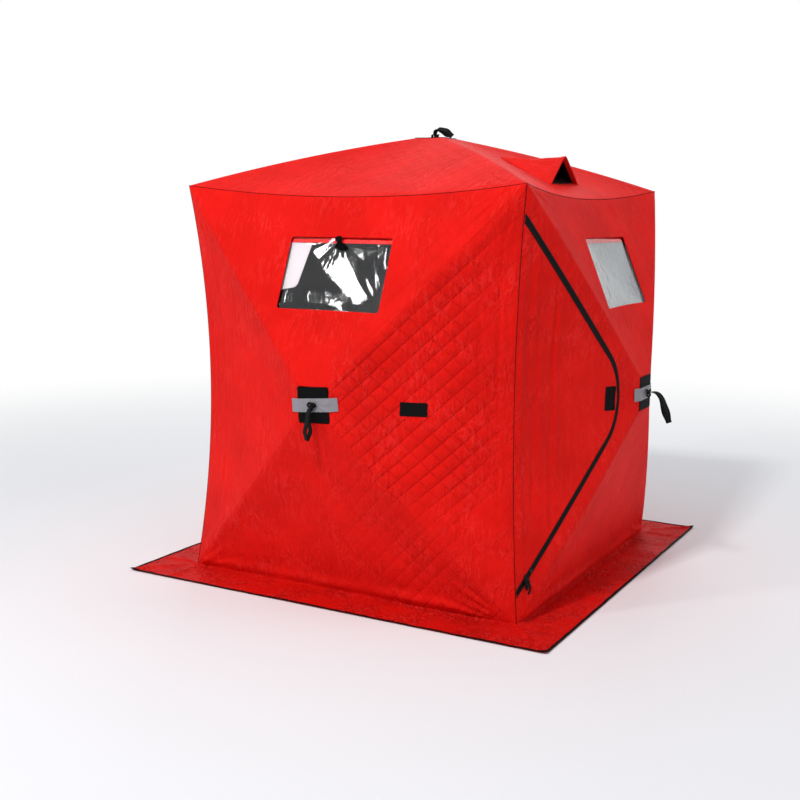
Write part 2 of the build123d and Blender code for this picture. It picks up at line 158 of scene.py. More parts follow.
class HutWindow(bpy.types.PropertyGroup):
    """Windows in the upper panels."""

    width: length("Width", 0.544, "Opening, side to side")
    height: length("Height", 0.325, "Opening, top to bottom")
    drop: length("Drop", 0.240, "Corners of the roof down to the opening")
    rounding: length("Rounding", 0.014, "Corners of the opening")
    door_aside: length("Door wall shift", 0.030, "The door wall's window, aside from the middle")
    hem: length("Hem", 0.026, "Red hem that shows through the film at the top")
    flap_black: colour("Dark flap", "#0A0A0B", "Inner flap, dark side out")
    flap_grey: colour("Pale flap", "#888A8D", "Inner flap, pale side out")
    pale: colour("Pale sheet", "#B6ACAF", "Pale sheet beside the dark flap")


class HutStage(bpy.types.PropertyGroup):
    """Camera, floor and lights."""

    camera_place: bpy.props.FloatVectorProperty(
        name="Camera", description="Where the camera stands", default=(2.8218, -5.4272, 1.8116), subtype="TRANSLATION"
    )
    azimuth: bpy.props.FloatProperty(
        name="Azimuth", description="Camera's turn about the upright", default=math.radians(29.13), subtype="ANGLE"
    )
    elevation: bpy.props.FloatProperty(
        name="Elevation", description="How far the camera looks down", default=math.radians(9.22), subtype="ANGLE"
    )
    roll: bpy.props.FloatProperty(
        name="Roll", description="Camera's turn about its line of sight", default=math.radians(0.38), subtype="ANGLE"
    )
    lens: bpy.props.FloatProperty(name="Lens", description="Focal length for a 36 mm sensor", default=51.80)
    floor_size: length("Floor size", 30.0, "Side of the floor", high=100.0)
    floor: colour("Floor", "#ECEEF0", "Plain pale floor")


def fabric_settings():
    """The fabric's values."""
    return bpy.context.scene.hut_fabric


def trim_settings():
    """The values of patches, bands, straps and zips."""
    return bpy.context.scene.hut_trim


def window_settings():
    """The windows' values."""
    return bpy.context.scene.hut_window


# Shape of the tensioned sheets

SHARE_ROUNDS = 40  # tries after which the share along a bowed seam has settled


def wall_panels():
    """The four panels of a wall seen square on, with across and up as their flat coordinates."""
    fabric = fabric_settings()
    corner, eave, bow = fabric.corner_dip, fabric.eave_dip, fabric.wall_bow
    low, high, half = PATCH_BOTTOM, PATCH_TOP, PATCH_HALF
    return {
        "top": Panel(False, 1, high, EAVE, eave, -half, half, -HALF, HALF, HUB_DEPTH, HALF, eave, bow),
        "bottom": Panel(False, -1, -low, 0.0, 0.0, -half, half, -HALF, HALF, HUB_DEPTH, HALF, 0.0, bow),
        "left": Panel(True, -1, half, HALF, corner, low, high, 0.0, EAVE, HUB_DEPTH, HALF, corner, bow),
        "right": Panel(True, 1, half, HALF, corner, low, high, 0.0, EAVE, HUB_DEPTH, HALF, corner, bow),
    }


def roof_panel():
    """The front panel of the roof seen from above, with up as the way out from the hub."""
    fabric = fabric_settings()
    half, eave = PATCH_HALF, fabric.eave_dip
    return Panel(False, 1, half, HALF, eave, -half, half, -HALF, HALF, PEAK, EAVE, eave, fabric.roof_bow)


def arch(height, share):
    """Curve of the given height between two ends: 0 at shares 0 and 1."""
    return height * 4 * share * (1 - share)


def shares(panel, across, up):
    """Share of the way along the seam, and from the hub to the seam, at flat points."""
    along, out = (up, across * panel.sign) if panel.swap else (across, up * panel.sign)
    share = np.full(np.shape(along), 0.5)
    for _ in range(SHARE_ROUNDS):
        seam = panel.seam_out - arch(panel.seam_dip, share)
        way = (out - panel.hub_out) / (seam - panel.hub_out)
        low = panel.hub_low + way * (panel.seam_low - panel.hub_low)
        high = panel.hub_high + way * (panel.seam_high - panel.hub_high)
        share = np.clip((along - low) / np.maximum(high - low, 1e-9), -0.3, 1.3)
    return share, way


def panel_depth(panel, across, up):
    """How far out a panel's face stands at flat points, with its ridges bowed by the rods."""
    share, way = shares(panel, across, up)
    seam = panel.seam_depth - arch(panel.depth_dip, share)
    return (1 - way) * panel.hub_depth + way * seam + arch(panel.bow, way) * (2 * share - 1) ** 2


def wall_depth(across, up):
    """How far out a wall's face stands anywhere on it, its hub patch included."""
    depth = np.full(np.shape(across), HUB_DEPTH)
    for panel in wall_panels().values():
        share, way = shares(panel, across, up)
        on_panel = (way > 0) & (share >= 0) & (share <= 1)
        depth = np.where(on_panel, panel_depth(panel, across, up), depth)
    return depth


def on_wall(across, depth, up):
    """Points of the front wall from flat points and a depth."""
    return np.stack([across, -depth, up], axis=-1)


def on_roof(across, depth, up):
    """Points of the front roof panel from flat points and a height."""
    return np.stack([across, -up, depth], axis=-1)


def turned(points, degrees):
    """Points of the front turned about the hut's middle."""
    angle = math.radians(degrees)
    turn = np.array([[math.cos(angle), -math.sin(angle), 0], [math.sin(angle), math.cos(angle), 0], [0, 0, 1]])
    return points @ turn.T


# Wrinkles, padding and other relief, in metres out of the sheet

RIDGE_SLANT = 0.72  # distance to a ridge, as a share of the distance along the seam
RIM = (0.001, 0.03)  # relief fades in between these distances from a panel's edge
SEWN = (-0.002, 0.035)  # and between these from a patch sewn on it
WINDOW_RIM = (0.004, 0.05)  # and between these from the edge of a window
HUB_FLAT = (0.250, 0.085)  # width and height of the flat place under a hub's band
SEAM_SINK = 0.0022  # how deep a wall panel's edge is drawn in by its seam
TUCKS, TUCK_HEIGHT = 30, 0.0036  # upright creases beside a corner seam
WALL_FAN, WALL_FAN_HEIGHT = (60, 12, 0.46), 0.0050  # spread in degrees, number and reach of the creases
ROOF_FAN, ROOF_FAN_HEIGHT = (50, 7, 0.36), 0.0028
ROOF_WIDTHS = (0.16, 1.64)  # width of a roof panel at its hub, and how much wider its seam is
# Unevenness of a wall panel: height, size of its lumps, stretch across and up, seed
RUMPLES = (
    (0.0010, 0.045, 1.0, 1.0, 20), (0.0016, 0.11, 1.0, 1.0, 0),
    (0.0030, 0.32, 1.0, 1.0, 40), (0.0007, 0.03, 2.2, 0.7, 80),
)
FAN_CORNERS = {
    "top": [((-HALF, EAVE), -24), ((HALF, EAVE), 204)],
    "bottom": [((-HALF, 0.0), 26), ((HALF, 0.0), 154)],
    "left": [((-HALF, EAVE), 294), ((-HALF, 0.0), 66)],
    "right": [((HALF, EAVE), 246), ((HALF, 0.0), 114)],
}  # corners that a panel is pulled from, with the way that its creases run in degrees


def cloud(across, up, size, seed):
    """Smooth random field between -1 and 1 with lumps of about the given size."""
    cells = 64
    table = np.random.RandomState(seed).uniform(-1, 1, (cells, cells))
    x, y = across / size + 17.3, up / size + 9.1
    i, j = np.floor(x).astype(int), np.floor(y).astype(int)
    u, v = x - i, y - j
    u, v = u * u * (3 - 2 * u), v * v * (3 - 2 * v)
    a, b = table[i % cells, j % cells], table[(i + 1) % cells, j % cells]
    c, d = table[i % cells, (j + 1) % cells], table[(i + 1) % cells, (j + 1) % cells]
    return (a * (1 - u) + b * u) * (1 - v) + (c * (1 - u) + d * u) * v


def ramp(value, low, high):
    """0 below low and 1 above high, smooth between them."""
    t = np.clip((value - low) / (high - low), 0, 1)
    return t * t * (3 - 2 * t)


def swell(gap, width):
    """1 where there is no gap, falling to 0 at about twice the width."""
    return np.exp(-((gap / width) ** 2))


def quilting(across, up):
    """Padding that swells between diagonal lines of stitching, from 0 on a line to 1 in a cell's middle."""
    cell = fabric_settings().quilt_cell
    rising = np.abs(np.sin(math.pi * (across - up) / math.sqrt(2) / cell))
    falling = np.abs(np.sin(math.pi * (across + up) / math.sqrt(2) / cell))
    return np.sqrt(rising) * (0.3 + 0.7 * np.sqrt(falling))


def fold(across, up, start, angle, reach, width, height):
    """One long soft crease from a start point, which fades along its reach."""
    dx, dy = math.cos(angle), math.sin(angle)
    along = ((across - start[0]) * dx + (up - start[1]) * dy) / reach
    aside = (across - start[0]) * dy - (up - start[1]) * dx
    bend = 0.03 * np.sin(along * 5 + angle * 7) * reach * 0.25
    taper = ramp(along, 0.0, 0.12) * (1 - ramp(along, 0.35, 1.0))
    spread = width * (0.6 + 0.9 * np.clip(along, 0, 1))
    return height * taper * swell(aside - bend, spread)


def fan(across, up, corner, middle, spread, count, reach, height, seed):
    """Creases that run out of a corner where the fabric is pulled."""
    draw = np.random.RandomState(seed)
    total = np.zeros(np.shape(across))
    for number in range(count):
        angle = math.radians(middle + spread * ((number + draw.uniform(0.1, 0.9)) / count - 0.5))
        start = (corner[0] + 0.02 * math.cos(angle), corner[1] + 0.02 * math.sin(angle))
        size = draw.uniform(0.45, 1.0)
        sign = 1 if number % 2 else -0.8
        total += fold(across, up, start, angle, reach * size, draw.uniform(0.008, 0.014), sign * height * size)
    return total


def tucks(across, up, seam_gap, count, seed, height):
    """Upright creases beside a corner seam, within about 0.25 of it."""
    draw = np.random.RandomState(seed)
    total = np.zeros(np.shape(across))
    for _ in range(count):
        place = 0.02 + 0.24 * draw.uniform() ** 1.4
        low = draw.uniform(0.05, EAVE - 0.7)
        reach = draw.uniform(0.5, 1.4)
        width = draw.uniform(0.007, 0.012)
        sway = 0.008 * np.sin(up * draw.uniform(2, 5) + draw.uniform(0, 6))
        taper = ramp(up, low, low + 0.15) * (1 - ramp(up, low + reach - 0.25, low + reach))
        total += draw.uniform(-1, 1) * height * taper * swell(seam_gap - place + sway, width)
    return total


def window_middle(wall):
    """Middle of a wall's window."""
    window = window_settings()
    aside = window.door_aside if wall == DOOR_WALL else 0.0
    return aside, EAVE - window.drop - window.height / 2


def rectangle_gap(across, up, middle, width, height):
    """Distance outside a rectangle's edge, below zero inside it."""
    return np.maximum(np.abs(across - middle[0]) - width / 2, np.abs(up - middle[1]) - height / 2)


def window_gap(wall, across, up):
    """Distance outside the window's edge, below zero inside it."""
    return rectangle_gap(across, up, window_middle(wall), window_settings().width, window_settings().height)


def hook_patches(wall, side):
    """Middle, width and height of the hook-and-loop patch on a panel."""
    trim = trim_settings()
    if (wall, side) == ("front", "right"):
        return [((trim.wall_patch_out, HUB_HEIGHT - 0.004), trim.wall_patch_width, trim.wall_patch_height)]
    if (wall, side) == ("right", "left"):
        return [((-trim.door_patch_out, HUB_HEIGHT), trim.door_patch_width, trim.door_patch_height)]
    return []


def zip_gap(across, up):
    """Distance from the middle of the zip."""
    line = zip_line(trim_settings().zip_inset + trim_settings().zip_gap / 2, 300, 0.0)
    nearest = np.full(np.shape(across), 9.0)
    for x, y in line:
        nearest = np.minimum(nearest, np.hypot(across - x, up - y))
    return nearest


# How strongly a wall panel shows its quilting, tucks, corner fans and unevenness
PanelLook = namedtuple("PanelLook", "quilt tuck fans rumple")
LOOKS = {
    ("front", "right"): PanelLook(1.0, 0.9, 1.2, 1.1),
    ("front", "top"): PanelLook(0.5, 0.0, 1.1, 1.1),
    ("front", "bottom"): PanelLook(0.45, 0.0, 2.0, 1.0),
    ("front", "left"): PanelLook(0.12, 0.5, 0.9, 0.9),
    ("right", "left"): PanelLook(0.08, 1.5, 1.2, 0.8),
    ("right", "top"): PanelLook(0.12, 0.0, 1.0, 0.8),
    ("right", "bottom"): PanelLook(0.15, 0.0, 2.0, 0.9),
}
PLAIN_LOOK = PanelLook(0.35, 0.5, 0.8, 0.7)


def quilt_share(wall, side, across, up):
    """How strongly the quilting shows at a place on a wall, where the sheet is slack and where it is pulled flat."""
    share = np.full(np.shape(across), LOOKS.get((wall, side), PLAIN_LOOK).quilt)
    if side == "top":
        ridge_drop = (up - PATCH_TOP) - (across - PATCH_HALF) * (EAVE - PATCH_TOP) / (HALF - PATCH_HALF)
        share = share * (0.06 + 0.94 * ramp(across, 0.02, 0.30) * (1 - ramp(ridge_drop, 0.10, 0.50)))
    if side == "bottom":
        share = share * (0.15 + 0.85 * ramp(across, -0.05, 0.45))
    if side == "right":
        share = share * (0.25 + 0.75 * ramp(up + 0.2 * across, 0.40, 0.80)) * (1 - 0.75 * ramp(across, 0.60, 0.80))
    return share * (0.75 + 0.35 * cloud(across, up, 0.16, 60 + int(TURNS[wall])))


def edge_distances(panel, across, up, widths=None):
    """Distance from a panel's seam, and from the nearest of its seam, ridges and hub."""
    share, way = shares(panel, across, up)
    out = (across if panel.swap else up) * panel.sign
    seam_gap = np.abs(panel.seam_out - arch(panel.seam_dip, share) - out)
    if widths is None:
        width = (panel.hub_high - panel.hub_low) * (1 - way) + (panel.seam_high - panel.seam_low) * way
    else:
        width = widths[0] + widths[1] * way
    ridge_gap = np.minimum(share, 1 - share) * width * RIDGE_SLANT
    return seam_gap, np.minimum(np.minimum(seam_gap, ridge_gap), np.maximum(out - panel.hub_out, 0))


def panel_relief(wall, side, panel, across, up):
    """Quilting and creases of one wall panel."""
    look = LOOKS.get((wall, side), PLAIN_LOOK)
    seed = int(TURNS[wall]) + {"top": 1, "bottom": 2, "left": 3, "right": 4}[side]
    seam_gap, edge_gap = edge_distances(panel, across, up)
    relief = quilt_share(wall, side, across, up) * fabric_settings().quilt_loft * quilting(across, up)
    for height, size, stretch_across, stretch_up, offset in RUMPLES:
        relief += height * look.rumple * cloud(across * stretch_across, up * stretch_up, size, seed + offset)
    if look.tuck and panel.swap:
        relief += tucks(across, up, seam_gap, TUCKS, seed + 100, TUCK_HEIGHT * look.tuck)
    for corner, angle in FAN_CORNERS[side]:
        relief += fan(across, up, corner, angle, *WALL_FAN, WALL_FAN_HEIGHT * look.fans, seed + angle + 200)
    if side == "bottom":  # slack fabric rolls outwards above the skirt
        relief += 0.015 * swell(up - 0.045, 0.026) * (0.7 + 0.5 * cloud(across, up, 0.2, seed + 60))
    if side == "top":  # one short crease beside the window
        relief += fold(across, up, (-0.705, 1.765), math.radians(-65), 0.14, 0.008, 0.004)
        relief *= ramp(window_gap(wall, across, up), *WINDOW_RIM)
    relief *= ramp(rectangle_gap(across, up, (0.0, HUB_HEIGHT), *HUB_FLAT), *SEWN)
    for middle, width, height in hook_patches(wall, side):
        relief *= ramp(rectangle_gap(across, up, middle, width, height), *SEWN)
    if (wall, side) == (DOOR_WALL, "left"):  # the fabric swells in two rolls beside the zip
        gap = zip_gap(across, up)
        relief *= ramp(gap, trim_settings().tape_width, 0.05)
        beside = swell(gap - 0.019, 0.008) + 0.5 * swell(gap - 0.052, 0.010)
        relief += (0.0022 + 0.0045 * swell(up - HUB_HEIGHT + 0.02, 0.17)) * beside
    return relief * ramp(edge_gap, *RIM) - SEAM_SINK * (1 - ramp(edge_gap, 0.0, 0.007))


def wall_face(wall, side):
    """Function that gives the points of one wall panel at flat points, raised by a height."""
    panel = wall_panels()[side]

    def place(across, up, height=0.0, relief=True):
        depth = panel_depth(panel, across, up) + height
        if relief:
            depth = depth + panel_relief(wall, side, panel, across, up)
        return turned(on_wall(across, depth, up), TURNS[wall])

    return place


def roof_relief(wall, across, up):
    """Light quilting and creases of one roof panel."""
    seed = 500 + int(TURNS[wall])
    _, edge_gap = edge_distances(roof_panel(), across, up, ROOF_WIDTHS)
    relief = 0.22 * fabric_settings().quilt_loft * quilting(across, up)
    relief += 0.0012 * cloud(across, up, 0.10, seed) + 0.003 * cloud(across, up, 0.35, seed + 1)
    for corner, angle in (((-HALF, HALF), -30), ((HALF, HALF), 210)):
        relief += fan(across, up, corner, angle, *ROOF_FAN, ROOF_FAN_HEIGHT, seed + angle + 300)
    return relief * ramp(edge_gap, *RIM) - 0.0018 * (1 - ramp(edge_gap, 0.0, 0.007))


def roof_face(wall):
    """Function that gives the points of one roof panel at flat points, raised by a height."""

    def place(across, up, height=0.0, relief=True):
        depth = panel_depth(roof_panel(), across, up) + height
        if relief:
            depth = depth + roof_relief(wall, across, up)
        return turned(on_roof(across, depth, up), TURNS[wall])

    return place


# Flat outlines


def run(start, end, step):
    """Points from start up to but without end, evenly spaced by about a step."""
    count = max(1, math.ceil(math.dist(start, end) / step))
    return [tuple(start[k] + (end[k] - start[k]) * n / count for k in (0, 1)) for n in range(count)]


def closed_run(corners, step):
    """Closed outline through corners, with points evenly spaced by about a step."""
    return [point for start, end in zip(corners, corners[1:] + corners[:1]) for point in run(start, end, step)]


def seam_line(panel, low, high, step):
    """Points along a panel's seam between two shares, the last one left out."""
    count = max(1, math.ceil(abs(high - low) * (panel.seam_high - panel.seam_low) / step))
    points = []
    for n in range(count):
        share = low + (high - low) * n / count
        out = (panel.seam_out - arch(panel.seam_dip, share)) * panel.sign
        along = panel.seam_low + share * (panel.seam_high - panel.seam_low)
        points.append((out, along) if panel.swap else (along, out))
    return points


def panel_outline(panel, step):
    """Closed outline of a panel: hub side, ridge, seam and ridge."""
    hub = [(panel.hub_low, panel.hub_out * panel.sign), (panel.hub_high, panel.hub_out * panel.sign)]
    end = [(panel.seam_low, panel.seam_out * panel.sign), (panel.seam_high, panel.seam_out * panel.sign)]
    if panel.swap:
        hub, end = [point[::-1] for point in hub], [point[::-1] for point in end]
    outline = run(hub[0], hub[1], step) + run(hub[1], end[1], step)
    outline += seam_line(panel, 1.0, 0.0, step) + run(end[0], hub[0], step)
    return outline


def rounded_rectangle(middle, width, height, radius, step):
    """Closed outline of a rounded rectangle."""
    corners = []
    for sx, sy, start in ((1, 1, 0), (-1, 1, 90), (-1, -1, 180), (1, -1, 270)):
        cx, cy = middle[0] + sx * (width / 2 - radius), middle[1] + sy * (height / 2 - radius)
        arc = [math.radians(start + 90 * k / 4) for k in range(5)]
        corners.append([(cx + radius * math.cos(a), cy + radius * math.sin(a)) for a in arc])
    points = []
    for corner, following in zip(corners, corners[1:] + corners[:1]):
        points += corner[:-1] + run(corner[-1], following[0], step)
    return points


def tilted_rectangle(middle, width, height, degrees, step):
    """Closed outline of a rectangle turned about its middle, with slightly rounded corners."""
    angle = math.radians(degrees)
    outline = rounded_rectangle((0.0, 0.0), width, height, 0.003, step)
    return [
        (middle[0] + x * math.cos(angle) - y * math.sin(angle), middle[1] + x * math.sin(angle) + y * math.cos(angle))
        for x, y in outline
    ]


def zip_line(inset, count, fold_in):
    """Points of a line beside the two rods of the door, round its nose, from fold to fold."""
    hub_upper, hub_lower = Vector((-PATCH_HALF, PATCH_TOP)), Vector((-PATCH_HALF, PATCH_BOTTOM))
    up, down = Vector((-HALF, EAVE)) - hub_upper, Vector((-HALF, 0.0)) - hub_lower
    up.normalize()
    down.normalize()
    start_up = hub_upper + Vector((-up.y, up.x)) * inset
    start_down = hub_lower + Vector((down.y, -down.x)) * inset
    nose = geometry.intersect_line_line_2d(
        start_up - up, start_up + up * 2, start_down - down, start_down + down * 2
    )
    trim = trim_settings()
    radius = trim.zip_radius + trim.zip_inset - inset
    half_turn = math.acos(max(-1.0, min(1.0, up.dot(down)))) / 2
    back = radius / math.tan(half_turn)
    middle = nose + (up + down).normalized() * (radius / math.sin(half_turn))
    first, last = nose + up * back, nose + down * back
    begin = math.atan2(first.y - middle.y, first.x - middle.x)
    end = math.atan2(last.y - middle.y, last.x - middle.x)
    arc_steps, steps, reach = 24, 200, 2.0
    line = [first + up * (reach * (1 - k / steps)) for k in range(steps)]
    for k in range(arc_steps + 1):
        angle = begin + (end - begin) * k / arc_steps
        line.append(middle + Vector((math.cos(angle), math.sin(angle))) * radius)
    line += [last + down * (reach * (k + 1) / steps) for k in range(steps)]
    kept = []
    for point in line:
        height = point.y / EAVE
        if 0 < height < 1 and point.x > -HALF + fold_in + arch(fabric_settings().corner_dip, height):
            kept.append(tuple(point))
    return resampled(kept, count)


def distances(points):
    """Distance of each point of a line from its start, along the line."""
    return np.concatenate([[0], np.cumsum(np.hypot.reduce(np.diff(points, axis=0), axis=1))])


def resampled(points, count):
    """The same line with evenly spaced points."""
    line = np.array(points)
    marks = distances(line)
    wanted = np.linspace(0, marks[-1], count)
    return np.stack([np.interp(wanted, marks, values) for values in line.T], axis=-1)


def smooth_line(points, count):
    """Evenly spaced points on a smooth curve through the given points."""
    points = np.asarray(points, float)
    padded = np.concatenate([[2 * points[0] - points[1]], points, [2 * points[-1] - points[-2]]])
    line = []
    for k in range(len(points) - 1):
        a, b, c, d = padded[k:k + 4]
        for t in np.linspace(0, 1, 24, endpoint=False):
            bend = (2 * a - 5 * b + 4 * c - d) * t ** 2 + (3 * b - a - 3 * c + d) * t ** 3
            line.append(0.5 * (2 * b + (c - a) * t + bend))
    return resampled(line + [points[-1]], count)


def unit(vectors):
    """The same rows of vectors, each of length 1."""
    return vectors / np.linalg.norm(vectors, axis=-1, keepdims=True)


def inside(points, loops):
    """Which flat points lie inside an odd number of closed loops."""
    x, y = points[:, 0], points[:, 1]
    odd = np.zeros(len(points), bool)
    for loop in loops:
        ring = np.array(loop)
        for (x0, y0), (x1, y1) in zip(ring, np.roll(ring, -1, axis=0)):
            if y0 != y1:
                odd ^= ((y0 > y) != (y1 > y)) & (x < (x1 - x0) * (y - y0) / (y1 - y0) + x0)
    return odd


# Meshes


def smooth_object(name, points, faces, flat=None, materials=()):
    """New object with smooth faces, its flat coordinates as a UV layer, and its materials."""
    mesh = bpy.data.meshes.new(name)
    mesh.from_pydata([tuple(point) for point in points], [], faces)
    mesh.polygons.foreach_set("use_smooth", [True] * len(mesh.polygons))
    if flat is not None:
        layer = mesh.uv_layers.new(name="flat")
        corners = np.zeros(len(mesh.loops), np.int32)
        mesh.loops.foreach_get("vertex_index", corners)
        layer.data.foreach_set("uv", np.asarray(flat, np.float32)[corners].ravel())
    for made in materials:
        mesh.materials.append(made)
    mesh.update()
    piece = bpy.data.objects.new(name, mesh)
    bpy.context.scene.collection.objects.link(piece)
    return piece


def thicken(piece, thickness, offset=-1):
    """Gives a sheet its thickness, inwards unless told otherwise, with its lining as the second material."""
    shell = piece.modifiers.new("thickness", "SOLIDIFY")
    shell.thickness, shell.offset = thickness, offset
    shell.material_offset = max(0, len(piece.data.materials) - 1)
    return piece


def grid_faces(rows, columns, flip=False):
    """Faces between rows of points, with the same number of points in each."""
    faces = []
    for row in range(rows - 1):
        for a in range(row * columns, (row + 1) * columns - 1):
            b = a + columns
            faces.append((a, b, b + 1, a + 1) if flip else (a, a + 1, b + 1, b))
    return faces


def ring_faces(rings, around, closed=False):
    """Faces between rings of points, capped at both ends unless the last ring joins the first."""
    faces = []
    for ring in range(rings if closed else rings - 1):
        b, c = ring * around, (ring + 1) % rings * around
        faces += [(b + k, b + (k + 1) % around, c + (k + 1) % around, c + k) for k in range(around)]
    if not closed:
        faces += [tuple(range(around))[::-1], tuple(range((rings - 1) * around, rings * around))]
    return faces


def point_tree(points):
    """Search tree over flat points."""
    tree = kdtree.KDTree(len(points))
    for number, point in enumerate(points):
        tree.insert((*point, 0), number)
    tree.balance()
    return tree


# Distances in a sheet's lattice, as shares of its step: the row beside an edge, and what is kept clear of others
ROW, ROW_CLEAR, LATTICE_CLEAR = 0.42, 0.33, 0.6


def sheet_points(loops, step):
    """Flat points and triangles that fill the first loop, less the others, with a row close to each edge."""
    edge_points, edges, rows = [], [], []
    for loop in loops:
        ring = np.array(loop)
        base = len(edge_points)
        edge_points += [tuple(point) for point in ring]
        edges += [(base + k, base + (k + 1) % len(ring)) for k in range(len(ring))]
        tangent = np.roll(ring, -1, axis=0) - np.roll(ring, 1, axis=0)
        normal = np.stack([-tangent[:, 1], tangent[:, 0]], axis=-1)
        normal /= np.maximum(np.linalg.norm(normal, axis=1, keepdims=True), 1e-9)
        for side in (-1, 1):
            rows.append(ring + normal * side * step * ROW)
    row = np.concatenate(rows)
    edge_tree = point_tree(edge_points)
    row = [(float(x), float(y)) for x, y in row[inside(row, loops)] if edge_tree.find((x, y, 0))[2] > step * ROW_CLEAR]
    low, high = np.min(loops[0], axis=0), np.max(loops[0], axis=0)
    diagonal = fabric_settings().quilt_cell / math.sqrt(2)
    pitch = diagonal / round(diagonal / (step / math.sqrt(2)))
    columns, lines = (np.arange(math.floor(low[k] / pitch), math.ceil(high[k] / pitch) + 1) for k in (0, 1))
    grid = np.stack(np.meshgrid(columns, lines), axis=-1).reshape(-1, 2)
    grid = grid[(grid.sum(axis=1) % 2) == 0] * pitch
    near = point_tree(edge_points + row)
    middle = [point for point in grid[inside(grid, loops)] if near.find((*point, 0))[2] > step * LATTICE_CLEAR]
    everything = [Vector(point) for point in edge_points + row + middle]
    verts, _, faces, _, _, _ = geometry.delaunay_2d_cdt(everything, edges, [], 0, 1e-7)
    flat, triangles = np.array([tuple(vert) for vert in verts]), np.array([tuple(face) for face in faces])
    return flat, triangles[inside(flat[triangles].mean(axis=1), loops)]


def cloth(name, loops, place, materials, step=None, thickness=None, flip=False, stitch=None):
    """Sheet cut to flat loops and lifted onto a face; stitch gives how strongly the quilting shows at flat points."""
    flat, triangles = sheet_points(loops, step or fabric_settings().mesh_step)
    used, faces = np.unique(triangles, return_inverse=True)
    faces = faces.reshape(triangles.shape)
    if flip:
        faces = faces[:, ::-1]
    flat = flat[used]
    piece = smooth_object(name, place(*flat.T), faces.tolist(), flat, materials)
    if stitch is not None:
        mark = piece.data.attributes.new("stitch", "FLOAT", "POINT")
        mark.data.foreach_set("value", stitch(*flat.T).astype(np.float32))
    return thicken(piece, thickness or fabric_settings().thickness)


def ribbon(name, lines, place, finish, thickness, flip=False):
    """Strip between matched flat lines, lifted onto a face and thickened inwards."""
    flat = np.concatenate(lines)
    faces = grid_faces(len(lines), len(lines[0]), flip)
    return thicken(smooth_object(name, place(*flat.T), faces, flat, [finish]), thickness)


def tube(name, line, radius, around, finish, closed=False):
    """Round tube along a line of points, closed at its ends unless the line is a ring."""
    line = np.asarray(line)
    tangent = unit(np.roll(line, -1, axis=0) - np.roll(line, 1, axis=0) if closed else np.gradient(line, axis=0))
    first = np.cross(tangent[0], (0.31, 0.52, 0.79))
    points, flat = [], []
    for place, way, mark in zip(line, tangent, distances(line)):
        first = unit(first - way * first.dot(way))
        second = np.cross(way, first)
        for k in range(around):
            angle = 2 * math.pi * k / around
            points.append(place + (first * math.cos(angle) + second * math.sin(angle)) * radius)
            flat.append((radius * angle, mark))
    return smooth_object(name, points, ring_faces(len(line), around, closed), flat, [finish])


def mesh_area(piece):
    """Area of a piece's own faces, before it is thickened."""
    return sum(face.area for face in piece.data.polygons)


def stretched(piece):
    """Works out the smallest rectangle that a piece's flat shape fits, grown to the piece's area, and keeps nothing of
    it.
    """
    flat = np.array([tuple(loop.uv) for loop in piece.data.uv_layers["flat"].data])
    sizes = []
    for degrees in range(0, 90, 3):
        angle = math.radians(degrees)
        turn = np.array([[math.cos(angle), -math.sin(angle)], [math.sin(angle), math.cos(angle)]])
        sizes.append(np.ptp(flat @ turn, axis=0))
    size = min(sizes, key=np.prod)
    area = mesh_area(piece)
    size = size * math.sqrt(max(1.0, area / np.prod(size)) * 1.03)


def finish_piece(piece, nodes=(), body=SHELTER):
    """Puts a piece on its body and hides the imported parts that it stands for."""
    if nodes:
        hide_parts(*nodes)
    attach(piece, body)


def sewn(piece, nodes, body=SHELTER):
    finish_piece(piece, nodes, body)
    stretched(piece)


# Materials


def add_node(tree, kind, inputs=None, **settings):
    """Adds a shader node, sets its attributes, and fills its inputs or links them to a socket or a node."""
    made = tree.nodes.new("ShaderNode" + kind)
    for key, value in settings.items():
        setattr(made, key, value)
    for key, value in (inputs or {}).items():
        if isinstance(value, bpy.types.Node):
            value = value.outputs[0]
        if isinstance(value, bpy.types.NodeSocket):
            tree.links.new(value, made.inputs[key])
        else:
            made.inputs[key].default_value = value
    return made


def new_material(name):
    """Empty node material and its tree."""
    made = bpy.data.materials.new(name)
    made.use_nodes = True
    made.node_tree.nodes.clear()
    return made, made.node_tree


THREAD = 0.0022  # the woven threads are too fine to show, so they are drawn this wide
FADES, CREASES, FOLDS, FOLD_PATCHES = 3.2, 80.0, 34.0, 5.0  # of each, how many lumps to a metre
FOLD_DEPTH = -5.0  # how deep the folds are beside the finer creases; below zero, their crests stand out
FOLD_EDGE = 0.045  # half-width of a fold's crest, which carries the painted highlight, in the noise that draws the folds
CREST_HIGHLIGHT, CREST_HIGHLIGHT_PALE = 0.17, -0.03  # painted highlight on a fold's crest: how much lighter, and less saturated, the crest is made
# How deep the two ways of stitching lines lie, as shares: across the two diagonals
STITCH_DEPTHS = (1.0, 0.75)
STITCH_HALF, STITCH_SHADE = 0.005, 0.13  # half-width of a line of stitching, and how much painted shade darkens it
PLASTIC_IOR = 1.5


